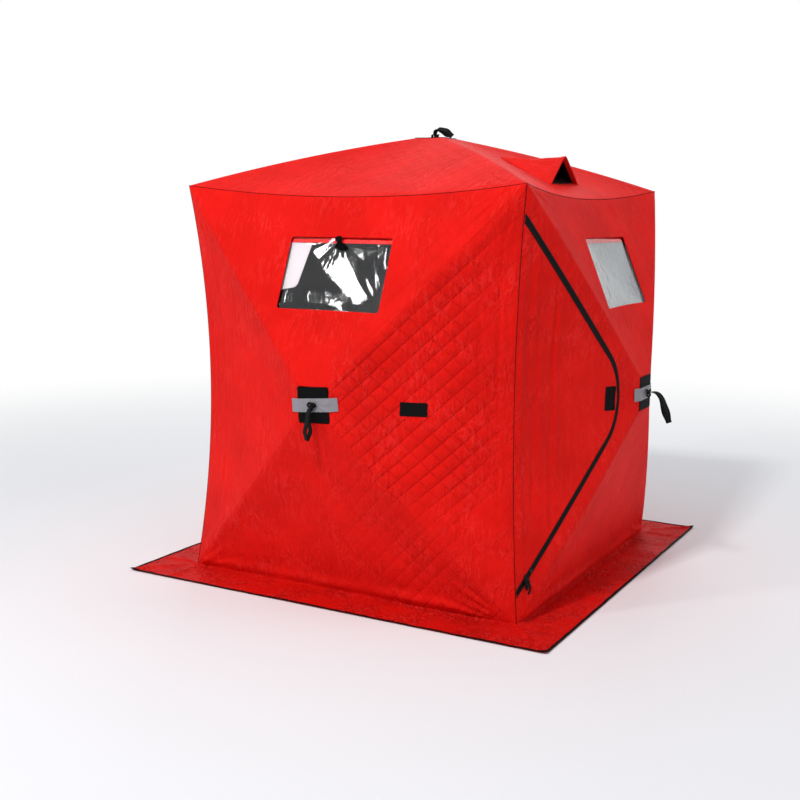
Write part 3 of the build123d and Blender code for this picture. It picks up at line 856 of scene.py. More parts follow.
def woven(name, tint, roughness=0.6, crinkle=0.5, quilted=0.0, specular=0.08, spread=0.12, drawn=(1.0, 0.3)):
    """Woven polyester: a fine weave, crinkles with a painted highlight along their crests, and slight fading.

    drawn stretches the crinkles: a low second value draws them out along the sheet's second flat direction.
    """
    made, tree = new_material(name)
    flat = add_node(tree, "TexCoord").outputs["UV"]
    fade = add_node(tree, "TexNoise", {"Vector": flat, "Scale": FADES, "Detail": 4.0, "Roughness": 0.6})
    long_way = add_node(tree, "Mapping", {"Vector": flat, "Scale": (*drawn, 1.0)})
    creases = add_node(tree, "TexNoise", {
        "Vector": long_way, "Scale": CREASES, "Detail": 4.0, "Roughness": 0.6, "Distortion": 0.4,
    })
    folds = add_node(tree, "TexNoise", {
        "Vector": long_way, "Scale": FOLDS, "Detail": 3.0, "Roughness": 0.55, "Distortion": 0.8,
    })
    centred = add_node(tree, "Math", {0: folds, 1: 0.5}, operation="SUBTRACT")
    crest = add_node(tree, "Math", {0: centred}, operation="ABSOLUTE")
    patches = add_node(tree, "TexNoise", {"Vector": flat, "Scale": FOLD_PATCHES, "Detail": 1.0})
    where = add_node(tree, "MapRange", {"Value": patches, "From Min": 0.38, "From Max": 0.62})
    amount = add_node(tree, "Math", {0: where, 1: FOLD_DEPTH}, operation="MULTIPLY")
    folded = add_node(tree, "Math", {0: crest, 1: amount}, operation="MULTIPLY")
    # Painted highlight: the colour is made lighter and a little paler along the crests of the folds, where their sheen
    # catches the lamps
    edge = add_node(tree, "MapRange", {"Value": crest, "From Max": FOLD_EDGE, "To Min": 1.0, "To Max": 0.0})
    crest_highlight = add_node(tree, "Math", {0: edge, 1: where}, operation="MULTIPLY")
    faded = add_node(tree, "MapRange", {
        "Value": fade, "From Min": 0.3, "From Max": 0.7, "To Min": 1 - spread, "To Max": 1 + spread,
    })
    bright = add_node(tree, "Math", {0: crest_highlight, 1: CREST_HIGHLIGHT * crinkle, 2: faded}, operation="MULTIPLY_ADD")
    pale = add_node(tree, "Math", {0: crest_highlight, 1: CREST_HIGHLIGHT_PALE * crinkle, 2: 1.0}, operation="MULTIPLY_ADD")
    shade = add_node(tree, "HueSaturation", {"Color": tint, "Value": bright, "Saturation": pale})
    height = add_node(tree, "Math", {0: creases, 1: folded}, operation="ADD")
    warp, weft = (
        add_node(tree, "TexWave", {"Vector": flat, "Scale": 1 / THREAD / 20}, bands_direction=way).outputs["Fac"]
        for way in "XY"
    )
    weave = add_node(tree, "Math", {0: warp, 1: weft}, operation="MULTIPLY")
    fine = add_node(tree, "Bump", {"Height": weave, "Strength": 0.15, "Distance": 0.0006})
    normal = add_node(tree, "Bump", {"Height": height, "Strength": crinkle, "Distance": 0.010, "Normal": fine})
    if quilted:
        normal, shade = stitched(tree, flat, normal, shade, quilted)
    shader = add_node(tree, "BsdfPrincipled", {
        "Base Color": shade, "Roughness": roughness, "Normal": normal,
        "Specular IOR Level": specular, "Specular Tint": tint, "IOR": PLASTIC_IOR,
    })
    add_node(tree, "OutputMaterial", {"Surface": shader})
    return made


def stitched(tree, flat, normal, shade, strength):
    """Fine groove along the diagonal lines of stitching, with painted shade that makes it a little darker than the
    cloth round it.
    """
    turn = add_node(tree, "VectorRotate", {"Vector": flat, "Angle": math.radians(45)}, rotation_type="Z_AXIS")
    parts = add_node(tree, "SeparateXYZ", {"Vector": turn})
    grooves = []
    for axis, deep in zip("XY", STITCH_DEPTHS):
        across = {0: parts.outputs[axis], 1: fabric_settings().quilt_cell / 2}
        gap = add_node(tree, "Math", across, operation="PINGPONG")
        grooves.append(add_node(tree, "MapRange", {
            "Value": gap, "From Min": 0.0, "From Max": STITCH_HALF, "To Min": deep, "To Max": 0.0,
        }))
    groove = add_node(tree, "Math", dict(enumerate(grooves)), operation="MAXIMUM")
    shown = add_node(tree, "Attribute", attribute_name="stitch").outputs["Fac"]
    depth = add_node(tree, "Math", {0: groove, 1: shown}, operation="MULTIPLY")
    bump = add_node(tree, "Bump", {"Height": depth, "Strength": strength, "Distance": -0.003, "Normal": normal})
    # Painted shade in the stitching grooves: the colour darkens where the lines lie
    share = add_node(tree, "Math", {0: depth, 1: STITCH_SHADE}, operation="MULTIPLY", use_clamp=True)
    value = add_node(tree, "Math", {0: 1.0, 1: share}, operation="SUBTRACT")
    return bump, add_node(tree, "HueSaturation", {"Color": shade, "Value": value})


def plain_shader(name, tint, roughness, specular=0.10, grain=0.0, grain_size=0.002):
    """One smooth surface with a fine grain."""
    made, tree = new_material(name)
    place = add_node(tree, "TexCoord").outputs["Object"]
    noise = add_node(tree, "TexNoise", {"Vector": place, "Scale": 1 / grain_size, "Detail": 3.0})
    bump = add_node(tree, "Bump", {"Height": noise, "Strength": grain, "Distance": 0.001})
    shader = add_node(tree, "BsdfPrincipled", {
        "Base Color": tint, "Roughness": roughness, "Specular IOR Level": specular, "IOR": PLASTIC_IOR, "Normal": bump,
    })
    add_node(tree, "OutputMaterial", {"Surface": shader})
    return made


def clear_film(name):
    """Soft clear vinyl film: bright sharp reflections over whatever lies behind it."""
    made, tree = new_material(name)
    place = add_node(tree, "TexCoord").outputs["UV"]
    noise = add_node(tree, "TexNoise", {"Vector": place, "Scale": 14.0, "Detail": 3.0, "Distortion": 0.8})
    bump = add_node(tree, "Bump", {"Height": noise, "Strength": 0.25, "Distance": 0.004})
    shader = add_node(tree, "BsdfPrincipled", {
        "Base Color": linear("#F4F6F7"), "Roughness": 0.02, "IOR": 1.33, "Specular IOR Level": 0.15,
        "Transmission Weight": 1.0, "Normal": bump,
    })
    shadow = add_node(tree, "LightPath").outputs["Is Shadow Ray"]
    through = add_node(tree, "BsdfTransparent")
    add_node(tree, "OutputMaterial", {"Surface": add_node(tree, "MixShader", {"Fac": shadow, 1: shader, 2: through})})
    return made


def material(name, make, *values, **settings):
    """The named material, made by a function when it is first asked for."""
    return bpy.data.materials.get(name) or make(name, *values, **settings)


def wall_fabric():
    """Quilted polyester with a soft, slightly crinkled face."""
    return material("quilted_polyester_red", woven, fabric_settings().red, quilted=1.1)


def roof_fabric():
    """The same cloth on the roof, pulled flatter and duller; its red is a little lighter and pinker than the walls', a
    painted sheen.
    """
    return material("quilted_polyester_roof", woven, fabric_settings().roof_sheen_red, quilted=0.25, specular=0.04)


def skirt_fabric():
    """Unpadded coated polyester, strongly crinkled and a little smoother than the walls."""
    tint = fabric_settings().skirt_red
    return material(
        "coated_polyester_skirt", woven, tint, roughness=0.5, crinkle=0.9, specular=0.06, drawn=(1.0, 0.8)
    )


def lining_fabric():
    """Pale nonwoven backing of the padding, matt."""
    return material("nonwoven_lining", woven, fabric_settings().lining, 0.8, 0.2)


def black_fabric():
    """Heavy black polyester, matt, with a visible weave."""
    return material("heavy_polyester_black", woven, trim_settings().black, 0.7, 0.2)


def reflective_tape():
    """Grey reflective tape: fine glass beads, which give it a flat soft shine."""
    tint = trim_settings().band
    return material("reflective_tape", woven, tint, roughness=0.38, crinkle=0.12, specular=0.4, spread=0.05)


def hook_tape():
    """Hook-and-loop tape: deep matt black, with a coarse pile."""
    return material("hook_and_loop_tape", plain_shader, trim_settings().hook, 0.95, grain=1.0)


def zip_tape():
    """Woven nylon zip tape and coil, black with a dull sheen."""
    return material("nylon_zip", plain_shader, trim_settings().zip_black, 0.55, grain=0.4)


def seam_piping():
    """Folded dark tape sewn into the seams, matt."""
    return material("seam_piping", plain_shader, trim_settings().thread, 0.75, grain=0.5)


def webbing():
    """Polypropylene webbing: black, grained, with a dull shine."""
    return material("polypropylene_webbing", plain_shader, trim_settings().webbing, 0.6, grain=0.8)


def film_vinyl():
    """Clear film of the windows, which mirrors the small lamp."""
    return material("clear_vinyl_film", clear_film)


def dark_flap():
    """Black coated taffeta, dull, so that only the film before it shines."""
    return material("coated_taffeta_black", plain_shader, window_settings().flap_black, 0.75, 0.03, 0.1, 0.01)


def pale_flap():
    """The flap's grey side: smooth cloth with a slight crinkle."""
    return material(
        "coated_taffeta_grey", woven, window_settings().flap_grey, roughness=0.5, crinkle=0.3, spread=0.04
    )


def pale_sheet():
    """Pale inner sheet, smooth and evenly light."""
    return material("pale_inner_sheet", woven, window_settings().pale, crinkle=0.15, spread=0.02)


def fibreglass():
    """Pultruded fibreglass rod: dark and smooth, with a faint grain."""
    return material("pultruded_fibreglass", plain_shader, linear("#1E1F21"), 0.35, 0.4, grain=0.1)


def moulded_nylon():
    """Moulded black nylon with a fine satin grain."""
    return material("moulded_nylon", plain_shader, linear("#161718"), 0.5, 0.2, 0.2, 0.001)


# Operators

FINE = 0.7  # share of the mesh step for the panels that the photo shows
PATCH_STEP, SKIRT_STEP = 0.008, 0.014  # mesh steps of the patches and the skirt
ROOF_STITCH = 0.12  # how strongly the roof's stitching shows
TAPE = 0.0012  # thickness of the zip's tapes, the skirt and its binding
THIN = 0.0008  # thickness of the small sheets behind the film, the vent's net and the bands
DIAGONAL = 0.7071
HUB_TILTS = {"front": 5.0, "right": 1.0, "back": 2.0, "left": -3.0}  # of the patches and bands, in degrees


class HUT_OT_walls(bpy.types.Operator):
    """Quilted panels of the four walls, apart from the door"""

    bl_idname = "hut.walls"
    bl_label = "Walls"

    def execute(self, context):
        for wall in TURNS:
            for side, panel in wall_panels().items():
                if (wall, side) == (DOOR_WALL, "left"):
                    continue
                step = fabric_settings().mesh_step * (FINE if (wall, side) in LOOKS else 1.0)
                loops = [panel_outline(panel, step)]
                if side == "top":
                    loops.append(window_outline(wall, step))
                piece = quilted(f"{wall}_{side}_fabric", loops, wall, side, step)
                sewn(piece, [f"{wall}_wall_{side}"])
        return {"FINISHED"}


def quilted(name, loops, wall, side, step):
    """Sheet of quilted wall fabric with its lining."""
    finishes, stitch = [wall_fabric(), lining_fabric()], partial(quilt_share, wall, side)
    return cloth(name, loops, wall_face(wall, side), finishes, step=step, stitch=stitch)


def window_outline(wall, step, lap=0.0):
    """Closed outline of a wall's window, grown by a lap."""
    window = window_settings()
    width, height = window.width + 2 * lap, window.height + 2 * lap
    return rounded_rectangle(window_middle(wall), width, height, window.rounding, step)


class HUT_OT_roof(bpy.types.Operator):
    """Quilted panels of the roof"""

    bl_idname = "hut.roof"
    bl_label = "Roof"

    def execute(self, context):
        for wall in TURNS:
            piece = cloth(
                f"{wall}_roof_fabric", [panel_outline(roof_panel(), fabric_settings().mesh_step)], roof_face(wall),
                [roof_fabric(), lining_fabric()], flip=True,
                stitch=lambda across, up: np.full(np.shape(across), ROOF_STITCH),
            )
            sewn(piece, [f"roof_{wall}"])
        return {"FINISHED"}


class HUT_OT_door(bpy.types.Operator):
    """The door and its surround, which meet along the line of the zip"""

    bl_idname = "hut.door"
    bl_label = "Door"

    def execute(self, context):
        step = fabric_settings().mesh_step * FINE
        trim = trim_settings()
        panel = wall_panels()["left"]
        zip_points = 260
        edge = [tuple(p) for p in zip_line(trim.zip_inset + trim.zip_gap / 2, zip_points, 0.0)]
        upper_share, lower_share = edge[0][1] / EAVE, edge[-1][1] / EAVE
        seam = seam_line(panel, lower_share, upper_share, step)
        door = quilted("door_fabric", [edge + seam[1:]], DOOR_WALL, "left", step)
        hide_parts("door_jamb", "door_flap")
        stretched(door)
        nose = (float(np.interp(-HUB_HEIGHT, [-p[1] for p in edge], [p[0] for p in edge])), HUB_HEIGHT)
        hub, hub_top, hub_low = ((-PATCH_HALF, height) for height in (HUB_HEIGHT, PATCH_TOP, PATCH_BOTTOM))
        upper = run(nose, hub, step) + run(hub, hub_top, step)
        upper += run(hub_top, (-HALF, EAVE), step) + seam_line(panel, 1.0, upper_share, step)
        upper += [point for point in edge if point[1] > HUB_HEIGHT + step / 4]
        lower = [point for point in edge if point[1] < HUB_HEIGHT - step / 4]
        lower += seam_line(panel, lower_share, 0.0, step)[1:] + run((-HALF, 0.0), hub_low, step)
        lower += run(hub_low, hub, step) + run(hub, nose, step) + [nose]
        for half, outline in (("upper", upper), ("lower", lower)):
            surround = quilted(f"door_surround_{half}_fabric", [outline], DOOR_WALL, "left", step)
            sewn(surround, [f"door_surround_{half}"])
        door_blend(door)
        return {"FINISHED"}


def door_blend(piece):
    """Bakes a piece's placement into its mesh."""
    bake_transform(piece)


class HUT_OT_seams(bpy.types.Operator):
    """Thin dark piping in the corner and eave seams"""

    bl_idname = "hut.seams"
    bl_label = "Seams"

    def execute(self, context):
        fabric, trim = fabric_settings(), trim_settings()
        share = np.linspace(0.0, 1.0, 161)
        bow = arch(1.0, share)
        along, sunk = (2 * share - 1) * HALF, EAVE - fabric.eave_dip * bow
        eave = np.stack([along, fabric.eave_dip * bow - HALF, sunk], axis=-1)
        corner = HALF - fabric.corner_dip * bow
        upright = np.stack([corner, -corner, EAVE * share + 0.004 * (1 - share)], axis=-1)
        lines = {"eave": (eave, (0.0, -DIAGONAL, DIAGONAL)), "corner": (upright, (DIAGONAL, -DIAGONAL, 0.0))}
        for wall, turn in TURNS.items():
            for name, (line, out) in lines.items():
                line = turned(line - np.array(out) * trim.piping * 0.5, turn)
                finish_piece(tube(f"{wall}_{name}_piping", line, trim.piping / 2, 8, seam_piping()))
        return {"FINISHED"}


class HUT_OT_skirt(bpy.types.Operator):
    """Ground skirt with its bound edge"""

    bl_idname = "hut.skirt"
    bl_label = "Skirt"

    def execute(self, context):
        step = SKIRT_STEP
        ends = [(-HALF, HALF), (HALF, HALF), (SKIRT_EDGE, SKIRT_EDGE), (-SKIRT_EDGE, SKIRT_EDGE)]
        for wall in TURNS:
            piece = cloth(
                f"{wall}_skirt_fabric", [closed_run(ends, step)], skirt_face(wall), [skirt_fabric()],
                step=step, thickness=TAPE, flip=True,
            )
            sewn(piece, [f"{wall}_skirt"])
            self.bind_edge(wall)
        return {"FINISHED"}

    def bind_edge(self, wall):
        """Black binding sewn over the outer edge, a little puckered."""
        count = 300
        lines = []
        for k in range(4):
            edge = SKIRT_EDGE + 0.001 - trim_settings().binding * k / 3
            lines.append(np.stack([np.linspace(-edge, edge, count), np.full(count, edge)], axis=-1))
        face = skirt_face(wall)

        def puckered(across, up):
            return face(across, up, 0.0015 + 0.0008 * np.sin(across * 420))

        piece = ribbon(f"{wall}_skirt_binding", lines, puckered, black_fabric(), TAPE)
        finish_piece(piece)


def skirt_level(x, y):
    """Height of the skirt over the ground: waves across it, crinkles, and a long crease at each corner."""
    out = np.maximum(np.abs(x), np.abs(y))
    along = np.where(np.abs(x) > np.abs(y), y, x)
    side = np.where(np.abs(x) > np.abs(y), np.sign(x), 2 * np.sign(y))
    from_wall, from_edge = out - HALF, SKIRT_EDGE - out
    waves = 0.5 + 0.5 * cloud(along * 1.5 + side * 3.1, out * 0.55, 0.10, 701)
    crinkle = cloud(along + side * 2.3, out, 0.030, 702) + 0.6 * cloud(along * 0.8 + side, out * 1.4, 0.014, 703)
    level = 0.0012 + 0.010 * waves * ramp(from_wall, 0.0, 0.05) * (0.35 + 0.65 * ramp(from_edge, 0.0, 0.09))
    level = level + 0.0016 * crinkle * ramp(from_edge, -0.004, 0.02)
    near_corner = np.abs(np.abs(x) - np.abs(y))
    ridge = 0.007 * swell(near_corner, 0.020) * ramp(from_wall, 0.0, 0.06)
    second = 0.009 * swell(near_corner - 0.9 * from_wall - 0.03, 0.012) * ramp(from_wall, 0.0, 0.05)
    rise = 0.012 * (1 - ramp(from_wall, 0.0, 0.022))
    return np.maximum(level + ridge + second * ramp(from_edge, 0.0, 0.05) + rise, 0.0008)


def skirt_face(wall):
    """Function that gives the points of one strip of the skirt."""

    def place(across, up, height=0.0):
        flat = turned(on_roof(across, np.zeros_like(across), up), TURNS[wall])
        level = skirt_level(flat[:, 0], flat[:, 1])
        return turned(on_roof(across, level + 0.0014 + height, up), TURNS[wall])

    return place


class HUT_OT_hubs(bpy.types.Operator):
    """Black hub patches, and the reflective bands across the wall hubs"""

    bl_idname = "hut.hubs"
    bl_label = "Hub Patches"

    def execute(self, context):
        trim = trim_settings()
        step, size, thickness = PATCH_STEP, 2 * PATCH_HALF + 0.004, 0.0016
        for wall, tilt in HUB_TILTS.items():
            face = hub_face(wall)
            patch = cloth(
                f"{wall}_hub_patch", [tilted_rectangle((0.0, HUB_HEIGHT), size, size, tilt * 0.8, step)],
                raised(face, 0.0012), [black_fabric()], step=step, thickness=thickness,
            )
            sewn(patch, ["hub_patches"])
            outline = tilted_rectangle((0.0, HUB_HEIGHT), trim.band_width, trim.band_height, tilt, step / 2)
            band = cloth(
                f"{wall}_band", [outline], pulled_band(face), [reflective_tape()], step=step / 2, thickness=THIN
            )
            sewn(band, ["reflective_bands"])
        patch = cloth(
            "roof_hub_patch", [tilted_rectangle((0.0, 0.0), size, size, 0.0, step)], roof_hub_face,
            [black_fabric()], step=step, thickness=thickness, flip=True,
        )
        sewn(patch, ["hub_patches"])
        return {"FINISHED"}


def raised(face, by):
    """The same face, lifted by a height."""
    return lambda across, up, height=0.0, **kept: face(across, up, height + by, **kept)


def pulled_band(face):
    """The face of a reflective band, creased where the knotted strap pulls at it."""

    def place(across, up):
        knot_at = (0.003, HUB_HEIGHT + 0.002)
        creases = fan(across, up, knot_at, 0, 80, 6, 0.12, 0.0024, 931)
        creases += fan(across, up, knot_at, 180, 80, 5, 0.09, 0.0018, 932)
        return face(across, up, 0.0046 + creases)

    return place


def hub_rise(radius, across, up, seed):
    """How far a hub's plate pushes the cloth out, with slight unevenness."""
    return 0.0014 * (1 - ramp(radius, 0.055, 0.085)) + 0.0007 * cloud(across, up, 0.03, seed)


def hub_face(wall):
    """Function that gives points over a wall's hub and the panels round it."""

    def place(across, up, height=0.0):
        rise = hub_rise(np.hypot(across, up - HUB_HEIGHT), across, up, 900 + int(TURNS[wall]))
        return turned(on_wall(across, wall_depth(across, up) + height + rise, up), TURNS[wall])

    return place


def roof_hub_face(across, up):
    """Points over the roof's hub."""
    return on_roof(across, PEAK + 0.0012 + hub_rise(np.hypot(across, up), across, up, 950), up)


class HUT_OT_hook_patches(bpy.types.Operator):
    """Hook-and-loop patches of the front wall and the door"""

    bl_idname = "hut.hook_patches"
    bl_label = "Hook Patches"

    def execute(self, context):
        step = PATCH_STEP
        for wall, side, node, body, under in (
            ("front", "right", "wall_hook_patch", SHELTER, "front_right_fabric"),
            ("right", "left", "door_hook_patch", DOOR, "door_fabric"),
        ):
            outline = tilted_rectangle(*hook_patches(wall, side)[0], -1.5, step)
            face = raised(wall_face(wall, side), 0.0022)
            piece = cloth(f"{node}_tape", [outline], face, [hook_tape()], step=step, thickness=0.002)
            sewn(piece, [node], body)
        return {"FINISHED"}


class HUT_OT_zip(bpy.types.Operator):
    """Zip tapes, coil, sliders and tape ends round the door"""

    bl_idname = "hut.zip"
    bl_label = "Zip"

    def execute(self, context):
        trim = trim_settings()
        face = raised(wall_face(DOOR_WALL, "left"), 0.0016)
        count, teeth = 320, 700
        middle = trim.zip_inset + trim.zip_gap / 2
        outer = tape_lines(trim.zip_inset + 0.001, trim.zip_inset - trim.tape_width, count)
        inner = tape_lines(middle + 0.0015, middle + 0.0025 + trim.tape_width, count)
        fixed = ribbon("surround_zip_tape", outer, face, zip_tape(), TAPE)
        finish_piece(fixed, ["door_surround_zip"])
        moving = ribbon("door_zip_tape", inner, face, zip_tape(), TAPE)
        coil = self.coil(face, zip_line(middle, teeth, 0.003))
        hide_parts("door_flap_zip")
        door_blend(moving)
        door_blend(coil)
        line = zip_line(middle, count, 0.002)
        self.tape_ends(face, line[-1])
        for number, above in enumerate(SLIDERS, 1):
            self.slider(f"zip_slider_{number}", face, line[np.argmin(np.abs(line[:, 1] - line[-1][1] - above))])
        return {"FINISHED"}

    def tape_ends(self, face, foot):
        """Loose ends of tape that hang at the lower end of the zip."""
        draw = np.random.RandomState(77)
        for number, (drop, aside) in enumerate(TAPE_ENDS):
            start = foot + (aside + drop * 0.45, drop)
            reach = draw.uniform(0.040, 0.062)
            share = np.linspace(0.0, 1.0, 16)
            sway = 0.006 * np.sin(share * draw.uniform(2, 4) + draw.uniform(0, 3)) + draw.uniform(-0.004, 0.012) * share
            lines = [
                np.stack([start[0] + sway + side * 0.0052, start[1] - reach * share], axis=-1) for side in (-1, 0, 1)
            ]

            def place(across, up, top=start[1], lift=0.004 + 0.002 * number, reach=reach):
                return face(across, up, lift + 0.010 * np.sin((top - up) / reach * 2.6), relief=False)

            tail = ribbon(f"zip_tape_end_{number + 1}", lines, place, zip_tape(), TAPE)
            finish_piece(tail)

    def slider(self, name, face, middle):
        """Rounded slider body that lies on the coil."""
        across, along, rise = 0.006, 0.010, 0.005
        rings, around = 6, 16
        points = []
        for ring in range(rings + 1):
            lift = rise * math.sin(math.pi / 2 * ring / rings)
            size = math.cos(math.pi / 2 * ring / rings) ** 0.5 if ring < rings else 0.05
            for k in range(around):
                a = 2 * math.pi * k / around
                x, y = math.cos(a) * size, math.sin(a) * size
                points.append((middle[0] + across * x + 0.45 * along * y, middle[1] + along * y, lift))
        x, y, lift = np.array(points).T
        placed = face(x, y, lift + 0.0015, relief=False)
        finish_piece(smooth_object(name, placed, ring_faces(rings + 1, around), None, [moulded_nylon()]))

    def coil(self, face, line):
        """Row of small rounded teeth that lean one after the other."""
        half_width, half_length, rise, narrowing = 0.0032, 0.0014, 0.0022, 0.6
        tangent = unit(np.gradient(line, axis=0))
        normal = np.stack([-tangent[:, 1], tangent[:, 0]], axis=-1)
        flats, faces = [], []
        for place, ahead, aside in zip(line, tangent, normal):
            base = len(flats)
            for up, size in ((0.0, 1.0), (rise, narrowing)):
                for a, b in ((-1, -1), (1, -1), (1, 1), (-1, 1)):
                    flats.append((*(place + ahead * half_length * a * size + aside * half_width * b * size), up))
            faces += [tuple(base + k for k in quad) for quad in TOOTH_FACES]
        flats = np.array(flats)
        return smooth_object("zip_coil", face(*flats.T), faces, flats[:, :2], [zip_tape()])


# Loose ends of tape: how far above and beside the zip's foot each hangs from
TAPE_ENDS = ((0.078, 0.012), (0.066, 0.018), (0.056, 0.010), (0.050, 0.024))
SLIDERS = (0.056, 0.090)  # heights over the zip's foot
# Corners of a tooth of the coil: 0 to 3 round its foot, 4 to 7 round its top
TOOTH_FACES = ((4, 5, 6, 7), (0, 1, 5, 4), (1, 2, 6, 5), (2, 3, 7, 6), (3, 0, 4, 7), (3, 2, 1, 0))


def tape_lines(near, far, count):
    """Four lines across a zip tape, from the coil outwards; the tape is folded narrower round the nose."""
    near_line, far_line = zip_line(near, count, 0.002), zip_line(far, count, 0.002)
    share = np.linspace(0.0, 1.0, count)[:, None]
    width = 1.0 - 0.45 * swell(share - 0.50, 0.085) - 0.20 * ramp(share, 0.50, 0.62)
    lines = [near_line + (far_line - near_line) * width * k / 3 for k in range(4)]
    return lines if far > near else lines[::-1]


class HUT_OT_windows(bpy.types.Operator):
    """Clear film, red hem, inner flap, and the tie and pale sheet beside the dark flaps"""

    bl_idname = "hut.windows"
    bl_label = "Windows"

    def execute(self, context):
        window = window_settings()
        step, fine = 0.009, 0.0058
        for wall in TURNS:
            aside, middle = window_middle(wall)
            top = middle + window.height / 2
            dark = wall != DOOR_WALL
            flap_layer, hem_layer = (DARK_FLAP, DARK_HEM) if dark else (PALE_FLAP, PALE_HEM)
            hem_outline = rounded_rectangle(
                (aside, top - window.hem / 2 + 0.008), window.width + 0.03, window.hem + 0.016, 0.002, step
            )
            for kind, outline, layer, finish, size, thickness, slot, nodes in (
                ("film", window_outline(wall, fine, 0.012), FILM, film_vinyl(), fine, 0.0004,
                 "window_film", ["window_films"]),
                ("flap", window_outline(wall, step, 0.030), flap_layer, dark_flap() if dark else pale_flap(), step,
                 0.001, "inner_flap", ["window_flaps"]),
                ("hem", hem_outline, hem_layer, wall_fabric(), step, 0.001, "wall_fabric", []),
            ):
                name = f"{wall}_window_{kind}"
                piece = cloth(name, [outline], film_face(wall, *layer), [finish], step=size, thickness=thickness)
                sewn(piece, nodes)
            if dark:
                self.pale_strip(wall, step)
                self.tie(wall, aside - 0.018, top - 0.002)
        return {"FINISHED"}

    def pale_strip(self, wall, step):
        """Pale inner sheet that shows beside the dark flap."""
        window = window_settings()
        aside, middle = window_middle(wall)
        left, top = aside - window.width / 2, middle + window.height / 2 - window.hem
        low = middle - window.height * 0.22
        outline = [
            (left - 0.010, low - 0.010), (left + 0.062, low + 0.004), (left + 0.074, low + 0.022),
            (left + 0.104, top + 0.004), (left - 0.010, top + 0.006),
        ]
        sheet = cloth(
            f"{wall}_window_sheet", [closed_run(outline, step)], film_face(wall, *PALE_SHEET), [pale_sheet()],
            step=step, thickness=THIN,
        )
        sewn(sheet, [])

    def tie(self, wall, x, y):
        """Gathered dark tie that holds the rolled flap at the top of the window."""
        face = film_face(wall, 0.0, 0.0)
        t = np.linspace(0, 2 * math.pi, 48, endpoint=False)
        for number, (size, squeeze, lean) in enumerate(TIE_RINGS):
            across = x + size * np.cos(t + lean)
            up = y - 0.004 + size * squeeze * np.sin(t) * (1 + 0.3 * np.sin(2 * t))
            points = face(across, up, 0.002 + 0.002 * number)
            ring = tube(f"{wall}_window_tie_{number + 1}", points, 0.0032, 8, black_fabric(), closed=True)
            finish_piece(ring)
        drop, columns, top = 0.056, 25, y - 0.004
        share = np.linspace(0, 1, 14)
        lines = []
        for k in range(columns):
            place = 2 * k / (columns - 1) - 1
            aside = place * (0.006 + 0.034 * share ** 1.3) + 0.022 * share
            fall = drop * share * (1 - 0.22 * abs(place) - 0.12 * (k % 4) / 3)
            lines.append(np.stack([x + aside, top - fall], axis=-1))

        def gathered(across, up):
            fall = np.clip((top - up) / drop, 0, 1)
            aside = (across - x - 0.022 * fall) / (0.006 + 0.034 * fall ** 1.3)
            pleats = 0.0030 * np.sin(aside * 9.0 + 1.0) * (1 - 0.3 * fall)
            return face(across, up, 0.0015 + pleats - 0.0085 * fall ** 1.5)

        gather = ribbon(f"{wall}_window_gather", lines, gathered, dark_flap(), THIN, flip=True)
        finish_piece(gather)


# Layers of a window: how far behind the wall's face each lies, and how loosely
FILM, PALE_SHEET = (0.0115, 1.0), (0.0185, 0.6)
DARK_FLAP, DARK_HEM = (0.026, 1.2), (0.0150, 0.5)
PALE_FLAP, PALE_HEM = (0.0195, 1.2), (0.0150, 0.8)
TIE_RINGS = ((0.015, 0.6, 0.4), (0.011, 0.9, -0.7))  # size, squeeze and lean of the tie's two turns
# The window film is pulled tight along one slanting streak, which mirrors the small lamp, and stands out on
# both sides of it: where the streak starts from the window's middle, its slant and its length
STREAK_FROM, STREAK_TURN, STREAK = (-0.019, 0.047), math.radians(-42), 0.255


def shoulder(value, start):
    """0 below the start, and beyond it a rise that bends softly into a straight slope."""
    past = np.maximum(value - start, 0)
    return past * past / (past + 0.02)


def streak_sag(along, beside):
    """How the film lies along its streak and leans away beside it, in metres out of the sheet."""
    within = np.clip(along, 0, STREAK)
    half = 0.050 - 0.16 * within
    sag = -0.0015 - 0.007 * within - 0.056 * within ** 2 + (0.21 * within - 0.020) * 0.06 * np.tanh(beside / 0.06)
    sag += 0.0078 * np.tanh(shoulder(beside, half) / 0.12) + 0.055 * shoulder(-beside, half)
    return sag + (0.050 * shoulder(along, STREAK) - 0.020 * shoulder(-along, 0.0))


def film_face(wall, depth, looseness):
    """Function that gives points of a loose sheet behind a window, with creases from where it is held."""
    window = window_settings()
    aside, middle = window_middle(wall)
    half_width, half_height = window.width / 2, window.height / 2
    seed = 1100 + int(TURNS[wall])

    def place(across, up, height=0.0):
        x, y = across - aside, up - middle
        creases = fan(x, up, (-0.018, middle + half_height), 265, 165, 9, 0.22, 0.0015, seed + 1)
        creases += fan(x, up, (half_width, middle - half_height), 140, 75, 9, 0.24, 0.0024, seed + 2)
        creases += fan(x, up, (half_width, middle + half_height), 215, 50, 5, 0.20, 0.0016, seed + 3)
        creases += fan(x, up, (-half_width, middle - half_height), 30, 50, 5, 0.12, 0.0006, seed + 4)
        creases += 0.0006 * cloud(x, up * 1.6, 0.15, seed + 5) + 0.0002 * cloud(x, up, 0.04, seed + 6)
        x, y = x - STREAK_FROM[0], y - STREAK_FROM[1]
        along = x * math.cos(STREAK_TURN) + y * math.sin(STREAK_TURN)
        beside = x * math.sin(STREAK_TURN) - y * math.cos(STREAK_TURN)
        quiet = swell(beside, 0.05) * ramp(along, -0.03, 0.02) * (1 - ramp(along, 0.20, 0.28))
        creases = (creases * (1 - 0.8 * quiet) + streak_sag(along, beside)) * looseness
        creases *= ramp(-window_gap(wall, across, up), 0.0, 0.030)
        level = panel_depth(wall_panels()["top"], across, up) - depth + creases + height
        return turned(on_wall(across, level, up), TURNS[wall])

    return place


